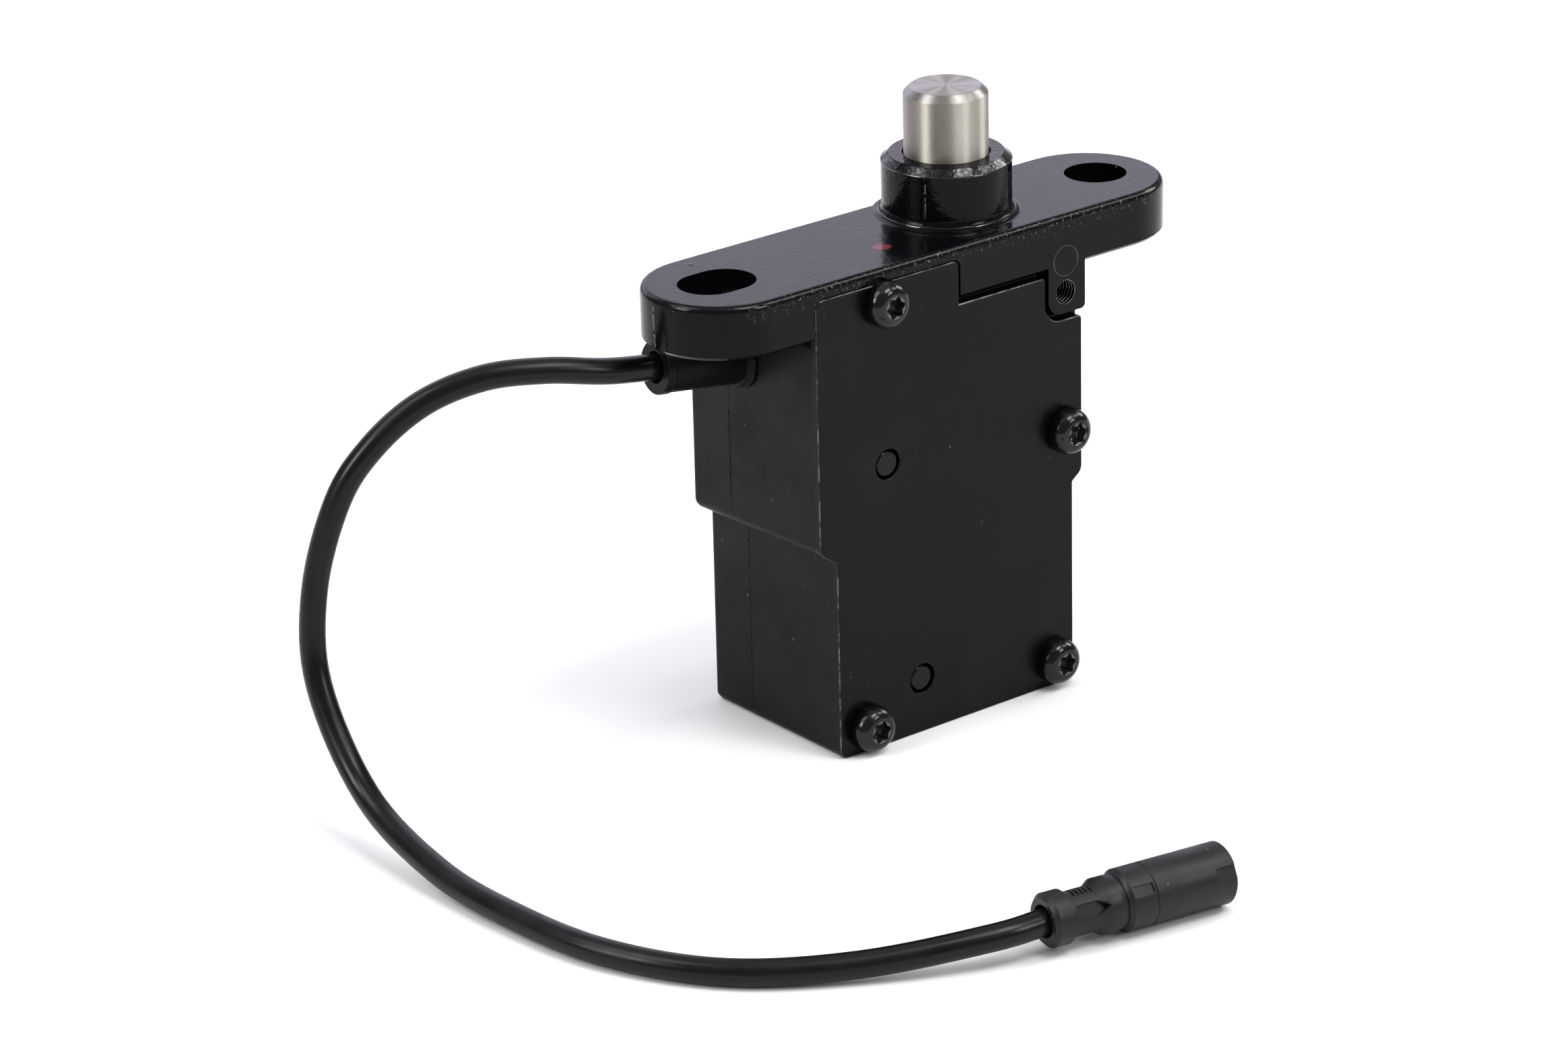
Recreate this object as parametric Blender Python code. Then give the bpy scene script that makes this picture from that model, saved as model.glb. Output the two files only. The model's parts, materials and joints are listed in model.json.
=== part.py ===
"""Motorised bolt lock with a slotted mounting flange and a short lead, as it comes apart on a bench."""
import math

import bmesh
import bpy
from mathutils import Matrix, Vector

MM = 0.001

# Sizes are in millimetres. Widths run from the bolt's axis, heights from the underside of the lock.

# Clearances
RUNNING_GAP = 0.05
SEAM_GAP = 0.1
FIT_GAP = 0.3

# Facets of round pieces
FINE_FACETS = 48
ROUND_FACETS = 32
SMALL_FACETS = 20
MEDIUM_FACETS = 24
TINY_FACETS = 12
ARC_STEPS = 5

# Bolt
BOLT_RADIUS = 5.0
BOLT_CHAMFER = 0.8
BOLT_STROKE = 8.0
BOLT_NECK_RADIUS = 2.5
BOLT_NECK_LENGTH = 2.0
BOLT_BUTTON_RADIUS = 4.0
BOLT_BUTTON_LENGTH = 1.4

# Mounting flange
FLANGE_TOP = 59.2
FLANGE_THICKNESS = 6.4
FLANGE_TOP_ROUND = 0.8
FLANGE_BOTTOM_ROUND = 0.4
FLANGE_LENGTH = 73.8
BOLT_OFFSET = 7.3
LOBE_RADIUS = 9.3
LOBE_STEPS = 18
HOLE_RADIUS = 3.75
HOLE_RIGHT_OFFSET = 1.6
SLOT_LEFT_OFFSET = 0.65
SLOT_HALF_TRAVEL = 1.0
FRONT_TO_AXIS = 10.85
COLLAR_RADIUS = 7.7
COLLAR_HEIGHT = 7.3
COLLAR_CHAMFER = 0.9
COLLAR_FILLET = 1.2
COLLAR_LIP = 2.5
COLLAR_MOUTH_RADIUS = 5.22
SEAT_RADIUS = 6.6
EAR_LEFT = 6.25
EAR_RIGHT = 11.95
EAR_BOTTOM = 47.1
EAR_DEPTH = 3.9
EAR_HOLE_X = 8.9
EAR_HOLE_Z = 49.7
EAR_HOLE_RADIUS = 1.5
EAR_CORNER_ROUND = 0.6

# Bolt guide
SEAL_CORD_RADIUS = 0.75
SEAL_FACETS = 10
BUSHING_WALL = 1.4

# Housing
UPPER_LEFT = 28.6
UPPER_RIGHT = 11.35
LOWER_LEFT = 26.15
LOWER_RIGHT = 9.85
LEFT_STEP_TOP = 26.45
LEFT_STEP_FOOT = 24.95
RIGHT_STEP_TOP = 26.6
RIGHT_STEP_FOOT = 25.5
STEP_ROUND = 1.4
STEP_FILLET = 0.35
SHOULDER_DRAFT = 0.5
HOUSING_BACK = 13.3
WALL = 1.6
HOUSING_ROUND = 1.1
BACK_ROUND = 0.85
EAR_NOTCH_LEFT = 5.3
EAR_NOTCH_BOTTOM = 46.85
EAR_NOTCH_ROUND = 2.4
GROOVE_INSET = 0.3
GROOVE_WIDTH = 0.55
GROOVE_DEPTH = 0.7
GASKET_GAP = 0.1
RAIL_WIDTH = 1.5
RAIL_FRONT = 2.0
RAIL_BOTTOM = 27.5
BOSS_HALF = 2.9
BOSS_DEPTH = 4.2
WALL_BITE = 0.5

# Front cover
COVER_THICKNESS = 1.0
COVER_EDGE_ROUND = 0.15
COVER_LIP = 0.12
TAB_RIGHT = 7.45
TAB_TOP = 57.5
TAB_ROUND = 1.2
TAB_SMALL_ROUND = 0.8
COVER_SHELF = 52.1
COVER_NOTCH_LEFT = 5.8
COVER_NOTCH_BOTTOM = 46.25
COVER_CORNER_ROUND = 0.5
TAB_GAP = 0.2

# Cover screws: M3 pan heads with a six-lobed socket
SCREW_RADIUS = 1.5
SCREW_LENGTH = 5.0
SCREW_POINT = 0.3
HEAD_RADIUS = 2.8
HEAD_STANDOUT = 2.4
HEAD_RIM = 0.9
HEAD_CROWN_RADIUS = 1.5
SOCKET_RADIUS = 1.21
SOCKET_LOBE = 0.19
SOCKET_DEPTH = 1.3
SOCKET_LOBES = 6
SOCKET_POINTS = 36
SOCKET_TURN = 8.3
CLEARANCE_HOLE = 1.7
THREAD_HOLE = 1.6
COVER_SCREWS = {
    "cover_screw_top": (-18.95, 55.1),
    "cover_screw_right": (8.7, 32.5),
    "cover_screw_lower_right": (6.85, 3.4),
    "cover_screw_lower_left": (-22.05, 3.15),
}

# Posts that show through the cover
POST_RADIUS = 1.6
POST_WINDOW = 1.9
POST_RECESS = 0.2
POST_CHAMFER = 0.2
POST_SOCKET_DEPTH = 0.5
POST_BOSS_RADIUS = 3.2
GUIDE_POST = (-18.5, 35.2)
GUIDE_BOSS_LENGTH = 3.0
BOARD_POST = (-13.75, 6.85)

# Screws from inside the housing up into the flange
FLANGE_SCREW_RADIUS = 1.0
FLANGE_SCREW_HEAD = 1.9
FLANGE_SCREW_HEAD_LENGTH = 1.4
FLANGE_SCREW_REACH = 4.0
FLANGE_SCREWS = {
    "flange_screw_left": (-22.0, -4.5),
    "flange_screw_right": (7.5, -2.9),
}

# Slider that the bolt hangs in
SLIDER_HALF_WIDTH = 5.2
SLIDER_FRONT = 4.6
SLIDER_BACK = 5.0
SLIDER_FORK = 1.4
SLIDER_SEAT = 1.3
SLIDER_FLOOR = 1.0
SLIDER_RAIL_GAP = 0.2
ARM_LEFT = 22.3
ARM_HALF_DEPTH = 1.5
ARM_MARGIN = 2.0
ARM_FOOT = 1.1
ARM_SLOT_GAP = 0.1

# Drive spring, and the finger that runs between its coils
SPRING_RADIUS = 3.1
SPRING_WIRE = 0.4
SPRING_PITCH = 2.3
SPRING_LENGTH = 11.2
SPRING_POINTS_PER_TURN = 16
SPRING_END_GAP = 0.15
FINGER_RADIUS = 0.45
FINGER_REACH = 3.75
HUB_RADIUS = 2.2
HUB_TOP_MARGIN = 0.95

# Gear motor
MOTOR_HALF_WIDTH = 6.0
MOTOR_HALF_DEPTH = 5.0
MOTOR_CAN_LENGTH = 10.8
MOTOR_CAP_LENGTH = 1.6
GEARBOX_LENGTH = 9.0
GEARBOX_PLATE = 0.8
GEARBOX_INSET = 1.2
GEARBOX_ROUND = 0.6
MOTOR_FLOOR_GAP = 0.4
SHAFT_RADIUS = 1.5
SHAFT_LENGTH = 10.0
SHAFT_SEAT = 2.0
CLIP_THICKNESS = 1.0
CRADLE_RIB = 2.0

# Circuit board and what is on it
BOARD_THICKNESS = 1.0
BOARD_MARGIN = 0.8
BOARD_RIGHT = 8.5
BOARD_BOTTOM = 2.2
BOARD_TOP = 30.0
BOARD_STANDOFF = 0.9
BOARD_REST = (-20.0, 25.0)
CHIP_SIZE = (5.0, 4.0, 1.1)
CHIP_PLACE = (-15.5, 14.5)
HEADER_SIZE = (6.0, 4.0, 3.6)
HEADER_PLACE = (-18.0, 20.5)
CAPACITOR_RADIUS = 2.0
CAPACITOR_LENGTH = 4.5
CAPACITOR_PLACE = (-11.5, 20.5)

# End-of-travel switch above the slider's arm
SWITCH_HALF_WIDTH = 3.2
SWITCH_HALF_DEPTH = 2.9
SWITCH_X = -12.8
PLUNGER_RADIUS = 0.6
PLUNGER_LENGTH = 2.1
PLUNGER_SHOWS = 0.7

# Cable gland on the left wall
GLAND_Y = 3.7
GLAND_Z = 46.9
GLAND_RADIUS = 3.1
GLAND_ROOT_RADIUS = 3.6
GLAND_LENGTH = 11.4
GLAND_TILT = 6.5
GLAND_YAW = 6.0
GLAND_ROOT_LIP = 0.4
GLAND_ROOT_LENGTH = 1.2
GLAND_SLEEVE_START = 0.6
GLAND_RIM = 1.0
GLAND_RIM_STEP = 0.12
GLAND_NECK_RADIUS = 2.4
GLAND_HOLE_RADIUS = 2.75
GLAND_INNER_FLANGE = 3.4
CORD_ENTRY_DEPTH = 1.2
CORD_ENTRY_GAP = 0.35

# Lead: the route is its own list of places, from the gland down to the table and round to the connector
CORD_DIAMETER = 3.1
CORD_STEP = 6.2
CORD_ROUTE = [
    (-38.9, 4.8, 48.1), (-46.2, 5.6, 49.1), (-53.0, 7.8, 50.3), (-59.7, 10.9, 50.2), (-66.1, 13.9, 47.9),
    (-71.6, 16.2, 43.4), (-75.5, 18.0, 37.3), (-78.5, 19.2, 26.8), (-79.8, 17.4, 16.1), (-80.5, 7.7, 5.8),
    (-81.7, -7.2, 2.3), (-81.4, -20.9, 1.65), (-79.1, -35.0, 1.6), (-72.2, -47.3, 1.6), (-60.8, -56.0, 2.0),
    (-47.8, -62.5, 3.3), (-40.7, -63.8, 3.6),
]

# Connector at the lead's far end, measured along its own axis from its rear face
CONNECTOR_REAR = (-41.45, -63.65)
CONNECTOR_HEADING = -9.3
CONNECTOR_LENGTH = 23.1
BOOT_COLLAR_RADIUS = 3.1
BOOT_COLLAR_LENGTH = 2.6
BOOT_NECK_RADIUS = 2.6
BOOT_TURN = 26.0
BOOT_SLITS = 5
BOOT_SLIT_TURN = 74.0
BOOT_SLIT_PITCH = 0.55
BOOT_SLIT_WIDTH = 0.28
BOOT_SLIT_HALF = 1.2
BOOT_SLIT_START = 3.5
BOOT_POCKET_FLOOR = 2.25
BOOT_ARROW_HALF = 0.85
BOOT_ARROW_TAIL = 3.0
BOOT_ARROW_NECK = 5.6
BOOT_ARROW_TIP = 7.0
BOOT_FLARE_START = 5.9
BOOT_RING_START = 6.85
BOOT_RING_RADIUS = 3.2
BOOT_GROOVE_START = 8.7
BOOT_GROOVE_RADIUS = 3.1
SLEEVE_START = 9.1
SLEEVE_RADIUS = 3.58
SLEEVE_BORE = 2.8
SLEEVE_CHAMFER = 0.25
SLEEVE_SEAM = 12.7
SLEEVE_SEAM_DEPTH = 0.12
SLEEVE_MARK_PLACE = 11.1
SLEEVE_MARK_LENGTH = 2.6
SLEEVE_MARK_WIDTH = 1.2
SLEEVE_MARK_DEPTH = 0.25
SLEEVE_MARK_TURN = 36.0
SPIGOT_RADIUS = 2.5
SPIGOT_LENGTH = 1.2
INSERT_LENGTH = 6.0
INSERT_GAP = 0.2
KEY_SLOT_WIDTH = 1.4
KEY_SLOT_LENGTH = 2.6
KEY_SLOT_DEPTH = 0.4
CONTACT_RADIUS = 0.4
CONTACT_CIRCLE = 1.3
CONTACT_LENGTH = 4.0
CONTACTS = 3

# Leads inside the housing
CORE_DIAMETER = 2.2
CORE_ROUTE = [
    (-24.6, 3.7, 47.3), (-23.2, 3.8, 47.0), (-22.4, 4.3, 45.4), (-22.4, 5.0, 41.0), (-22.4, 5.2, 36.0),
    (-21.8, 5.3, 31.0), (-20.0, 5.6, 27.0), (-18.4, 6.2, 24.6), (-18.0, 6.6, 23.4),
]
MOTOR_WIRE_DIAMETER = 0.9
MOTOR_WIRE_ROUTES = {
    "motor_wire_red": [
        (-6.9, 3.0, 3.2), (-8.0, 4.4, 3.6), (-9.2, 6.2, 5.0), (-10.0, 7.6, 7.0), (-10.2, 8.9, 8.6),
    ],
    "motor_wire_black": [
        (-6.9, 0.4, 3.2), (-8.2, 2.2, 4.6), (-9.6, 4.8, 8.0), (-10.2, 7.2, 10.6), (-10.2, 8.9, 12.0),
    ],
}

# Places worked out from the sizes above
FRONT = -FRONT_TO_AXIS
COVER_BACK = FRONT + COVER_THICKNESS
RIM = COVER_BACK + SEAM_GAP
FLANGE_BOTTOM = FLANGE_TOP - FLANGE_THICKNESS
LOBE_Y = FRONT + LOBE_RADIUS
LOBE_LEFT = FLANGE_LENGTH / 2 - LOBE_RADIUS + BOLT_OFFSET
LOBE_RIGHT = FLANGE_LENGTH / 2 - LOBE_RADIUS - BOLT_OFFSET
HOUSING_TOP = FLANGE_BOTTOM - FIT_GAP
CAVITY_TOP = HOUSING_TOP - WALL
CAVITY_BACK = HOUSING_BACK - WALL
COLLAR_TOP = FLANGE_TOP + COLLAR_HEIGHT
SEAT_TOP = COLLAR_TOP - COLLAR_LIP
BOLT_TOP = COLLAR_TOP + BOLT_STROKE
BOLT_SHOULDER = CAVITY_TOP
BUTTON_TOP = BOLT_SHOULDER - BOLT_NECK_LENGTH
BUTTON_BOTTOM = BUTTON_TOP - BOLT_BUTTON_LENGTH
FORK_TOP = BOLT_SHOULDER - FIT_GAP
FORK_BOTTOM = FORK_TOP - SLIDER_FORK
POCKET_BOTTOM = BUTTON_BOTTOM - FIT_GAP
SPRING_CEILING = POCKET_BOTTOM - SLIDER_SEAT
SPRING_TOP = SPRING_CEILING - SPRING_END_GAP
SPRING_BOTTOM = SPRING_TOP - SPRING_LENGTH
SPRING_FLOOR = SPRING_BOTTOM - SPRING_END_GAP
SLIDER_BOTTOM = SPRING_FLOOR - SLIDER_FLOOR
FINGER_Z = SPRING_BOTTOM + SPRING_WIRE + SPRING_PITCH / 2 + 0.05
HUB_TOP = FINGER_Z + HUB_TOP_MARGIN
MOTOR_BOTTOM = WALL + MOTOR_FLOOR_GAP
CAN_BOTTOM = MOTOR_BOTTOM + MOTOR_CAP_LENGTH + FIT_GAP
CAN_TOP = CAN_BOTTOM + MOTOR_CAN_LENGTH
GEARBOX_BOTTOM = CAN_TOP + FIT_GAP
GEARBOX_TOP = GEARBOX_BOTTOM + GEARBOX_LENGTH
SHAFT_TOP = GEARBOX_TOP + SHAFT_LENGTH
HUB_BOTTOM = GEARBOX_TOP + 1.2
POST_BACK = CAVITY_BACK + POST_SOCKET_DEPTH
BOARD_BACK = CAVITY_BACK - BOARD_STANDOFF - SEAM_GAP
BOARD_FRONT = BOARD_BACK - BOARD_THICKNESS
BOARD_LEFT = LOWER_LEFT - WALL - BOARD_MARGIN
ARM_BOTTOM = GUIDE_POST[1] - POST_RADIUS - ARM_FOOT
ARM_TOP = GUIDE_POST[1] + BOLT_STROKE + POST_RADIUS + ARM_MARGIN
SWITCH_TOP = CAVITY_TOP - FIT_GAP
SWITCH_BOTTOM = ARM_TOP + FIT_GAP + PLUNGER_SHOWS
CONNECTOR_Z = SLEEVE_RADIUS + RUNNING_GAP

# The lock stands with its box centred over the origin
BOX_OFFSET_X = BOLT_OFFSET
BOX_OFFSET_Y = (FRONT_TO_AXIS + HEAD_STANDOUT - HOUSING_BACK) / 2

# Corners of the outlines, as x, z and radius, anticlockwise seen from the front
HOUSING_CORNERS = [
    (-LOWER_LEFT, 0.0, HOUSING_ROUND), (LOWER_RIGHT, 0.0, HOUSING_ROUND),
    (LOWER_RIGHT, RIGHT_STEP_FOOT, STEP_FILLET), (UPPER_RIGHT, RIGHT_STEP_TOP, STEP_ROUND),
    (UPPER_RIGHT, HOUSING_TOP, HOUSING_ROUND), (-UPPER_LEFT, HOUSING_TOP, HOUSING_ROUND),
    (-UPPER_LEFT, LEFT_STEP_TOP, STEP_ROUND), (-LOWER_LEFT, LEFT_STEP_FOOT, STEP_FILLET),
]
RIM_CORNERS = HOUSING_CORNERS[:4] + [
    (UPPER_RIGHT, EAR_NOTCH_BOTTOM, HOUSING_ROUND), (EAR_NOTCH_LEFT, EAR_NOTCH_BOTTOM, EAR_NOTCH_ROUND),
    (EAR_NOTCH_LEFT, HOUSING_TOP, HOUSING_ROUND),
] + HOUSING_CORNERS[5:]
LIP_CORNERS = [(x + math.copysign(COVER_LIP, x), z, radius) for x, z, radius in HOUSING_CORNERS]
COVER_CORNERS = LIP_CORNERS[:4] + [
    (UPPER_RIGHT + COVER_LIP, COVER_NOTCH_BOTTOM, COVER_CORNER_ROUND),
    (COVER_NOTCH_LEFT, COVER_NOTCH_BOTTOM, EAR_NOTCH_ROUND),
    (COVER_NOTCH_LEFT, COVER_SHELF, COVER_CORNER_ROUND),
    (-TAB_RIGHT, COVER_SHELF, 0.0), (-TAB_RIGHT, TAB_TOP, TAB_SMALL_ROUND),
    (-UPPER_LEFT - COVER_LIP, TAB_TOP, TAB_ROUND),
] + LIP_CORNERS[6:]


# Scene helpers

def clear_scene():
    for old in list(bpy.data.objects):
        bpy.data.objects.remove(old)


def make_material(name, colour, roughness, metallic):
    material = bpy.data.materials.new(name)
    material.use_nodes = True
    shader = material.node_tree.nodes["Principled BSDF"]
    shader.inputs["Base Color"].default_value = (*colour, 1.0)
    shader.inputs["Roughness"].default_value = roughness
    shader.inputs["Metallic"].default_value = metallic
    material.diffuse_color = (*colour, 1.0)
    return material


def make_empty(name, place, parent=None, turn=(0.0, 0.0, 0.0)):
    empty = bpy.data.objects.new(name, None)
    empty.location = Vector(place) * MM
    empty.rotation_euler = [math.radians(angle) for angle in turn]
    empty.parent = parent
    bpy.context.scene.collection.objects.link(empty)
    return empty


def add_piece(name, mesh, material, parent, place=(0.0, 0.0, 0.0)):
    piece = bpy.data.objects.new(name, mesh)
    piece.data.materials.append(material)
    piece.parent = parent
    piece.location = Vector(place) * MM
    bpy.context.scene.collection.objects.link(piece)
    return piece


def add_tool(name, mesh, parent):
    tool = bpy.data.objects.new(name, mesh)
    tool.parent = parent
    tool.hide_render = True
    tool.display_type = "WIRE"
    bpy.context.scene.collection.objects.link(tool)
    return tool


def combine(piece, operation, name, mesh):
    """Cut a hidden tool out of a piece, or join it on."""
    tool = add_tool(piece.name + "_" + name, mesh, piece.parent)
    tool.location = piece.location
    modifier = piece.modifiers.new(name, "BOOLEAN")
    modifier.operation = operation
    modifier.object = tool
    return tool


def cut(piece, name, mesh):
    return combine(piece, "DIFFERENCE", name, mesh)


def join(piece, name, mesh):
    return combine(piece, "UNION", name, mesh)


# Mesh helpers

def to_mesh(shape, name, smooth_below=35.0):
    shape.normal_update()
    bmesh.ops.recalc_face_normals(shape, faces=shape.faces)
    mesh = bpy.data.meshes.new(name)
    shape.to_mesh(mesh)
    shape.free()
    mesh.shade_smooth()
    mesh.set_sharp_from_angle(angle=math.radians(smooth_below))
    return mesh


def rounded(corners, steps=ARC_STEPS):
    """Outline of a polygon whose corners are x, y and radius."""
    points = []
    for index, (x, y, radius) in enumerate(corners):
        here = Vector((x, y))
        if radius <= 0.0:
            points.append(here)
            continue
        before = (Vector(corners[index - 1][:2]) - here).normalized()
        after = (Vector(corners[(index + 1) % len(corners)][:2]) - here).normalized()
        half = before.angle(after) / 2
        centre = here + (before + after).normalized() * (radius / math.sin(half))
        first = here + before * (radius / math.tan(half)) - centre
        last = here + after * (radius / math.tan(half)) - centre
        start = math.atan2(first.y, first.x)
        sweep = math.remainder(math.atan2(last.y, last.x) - start, 2 * math.pi)
        for step in range(steps + 1):
            angle = start + sweep * step / steps
            points.append(centre + radius * Vector((math.cos(angle), math.sin(angle))))
    return points


def inset(corners, distance):
    """The same corners moved inwards, with the outer corners' radii following."""
    moved = []
    for index, (x, y, radius) in enumerate(corners):
        here = Vector((x, y))
        into = (here - Vector(corners[index - 1][:2])).normalized()
        away = (Vector(corners[(index + 1) % len(corners)][:2]) - here).normalized()
        side_in = Vector((-into.y, into.x))
        side_out = Vector((-away.y, away.x))
        shift = (side_in + side_out) * (distance / (1.0 + side_in.dot(side_out)))
        convex = into.x * away.y - into.y * away.x > 0.0
        new_radius = max(radius - distance, 0.0) if convex else radius
        moved.append((x + shift.x, y + shift.y, new_radius))
    return moved


def stadium(left, right, middle, radius, steps=LOBE_STEPS):
    """Two half circles joined by straight sides, anticlockwise."""
    points = []
    for centre, start in ((right, -90.0), (left, 90.0)):
        for step in range(steps + 1):
            angle = math.radians(start + 180.0 * step / steps)
            points.append(Vector((centre + radius * math.cos(angle), middle + radius * math.sin(angle))))
    return points


def circle(x, y, radius, facets=SMALL_FACETS):
    angles = [2 * math.pi * step / facets for step in range(facets)]
    return [Vector((x + radius * math.cos(angle), y + radius * math.sin(angle))) for angle in angles]


def extruded(outline, low, high, along="Z"):
    """Solid between two copies of an outline: in x and y along Z, in x and z along Y, in y and z along X."""
    place = {
        "Z": lambda point, depth: (point.x, point.y, depth),
        "Y": lambda point, depth: (point.x, depth, point.y),
        "X": lambda point, depth: (depth, point.x, point.y),
    }[along]
    shape = bmesh.new()
    rings = [[shape.verts.new(Vector(place(p, depth)) * MM) for p in outline] for depth in (low, high)]
    shape.faces.new(rings[0])
    shape.faces.new(rings[1])
    for index in range(len(outline)):
        following = (index + 1) % len(outline)
        shape.faces.new((rings[0][index], rings[0][following], rings[1][following], rings[1][index]))
    bmesh.ops.recalc_face_normals(shape, faces=shape.faces)
    return shape


def prism(name, outline, low, high, along="Z"):
    return to_mesh(extruded(outline, low, high, along), name)


def block(name, x_span, y_span, z_span):
    corners = [Vector((x, y)) for x, y in (
        (x_span[0], y_span[0]), (x_span[1], y_span[0]), (x_span[1], y_span[1]), (x_span[0], y_span[1]))]
    return prism(name, corners, *z_span)


def turned_shape(profile, facets=ROUND_FACETS, closed=False):
    """Solid of revolution about Z from pairs of radius and height."""
    shape = bmesh.new()
    rings = []
    for radius, height in profile:
        count = facets if radius > 0.0 else 1
        outline = circle(0.0, 0.0, radius, count)
        rings.append([shape.verts.new(Vector((p.x, p.y, height)) * MM) for p in outline])
    pairs = list(zip(rings, rings[1:]))
    if closed:
        pairs.append((rings[-1], rings[0]))
    for lower, upper in pairs:
        for index in range(facets):
            following = (index + 1) % facets
            loop = [lower[index % len(lower)], lower[following % len(lower)],
                    upper[following % len(upper)], upper[index % len(upper)]]
            corners = list(dict.fromkeys(loop))
            if len(corners) > 2:
                shape.faces.new(corners)
    return shape


def turned(name, profile, facets=ROUND_FACETS, closed=False, turn=None):
    shape = turned_shape(profile, facets, closed)
    if turn is not None:
        shape.transform(turn)
    return to_mesh(shape, name)


def shifted(x, y, z):
    return Matrix.Translation(Vector((x, y, z)) * MM)


# A shape turned about Z points its +Z end forwards, out of the lock's front, or to the left
TO_FRONT = Matrix.Rotation(math.radians(90.0), 4, "X")
TO_LEFT = Matrix.Rotation(math.radians(-90.0), 4, "Y")


def rod(name, x, z, radius, front, back, facets=SMALL_FACETS):
    """Plain round cutter along Y."""
    return prism(name, circle(x, z, radius, facets), front, back, "Y")


def pillar(name, x, y, radius, low, high, facets=SMALL_FACETS):
    """Plain round cutter along Z."""
    return prism(name, circle(x, y, radius, facets), low, high)


def smooth_route(places, step):
    """Points a step apart on a smooth curve through the given places."""
    knots = [Vector(place) for place in places]
    knots = [2 * knots[0] - knots[1]] + knots + [2 * knots[-1] - knots[-2]]
    dense = []
    for a, b, c, d in zip(knots, knots[1:], knots[2:], knots[3:]):
        for part in range(20):
            t = part / 20
            dense.append(0.5 * (2 * b + (c - a) * t + (2 * a - 5 * b + 4 * c - d) * t ** 2
                                + (3 * b - a - 3 * c + d) * t ** 3))
    dense.append(knots[-2])
    reach = [0.0]
    for before, after in zip(dense, dense[1:]):
        reach.append(reach[-1] + (after - before).length)
    count = max(2, round(reach[-1] / step))
    points = []
    spot = 0
    for index in range(count + 1):
        target = reach[-1] * index / count
        while spot < len(reach) - 2 and reach[spot + 1] < target:
            spot += 1
        share = (target - reach[spot]) / (reach[spot + 1] - reach[spot])
        points.append(dense[spot].lerp(dense[spot + 1], share))
    return points


def tube(name, points, diameter, material, parent, resolution=2):
    curve = bpy.data.curves.new(name, "CURVE")
    curve.dimensions = "3D"
    curve.bevel_depth = diameter / 2 * MM
    curve.bevel_resolution = resolution
    curve.use_fill_caps = True
    spline = curve.splines.new("POLY")
    spline.points.add(len(points) - 1)
    for knot, place in zip(spline.points, points):
        knot.co = (*(Vector(place) * MM), 1.0)
    return add_piece(name, curve, material, parent)


# Flange and bolt guide

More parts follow.
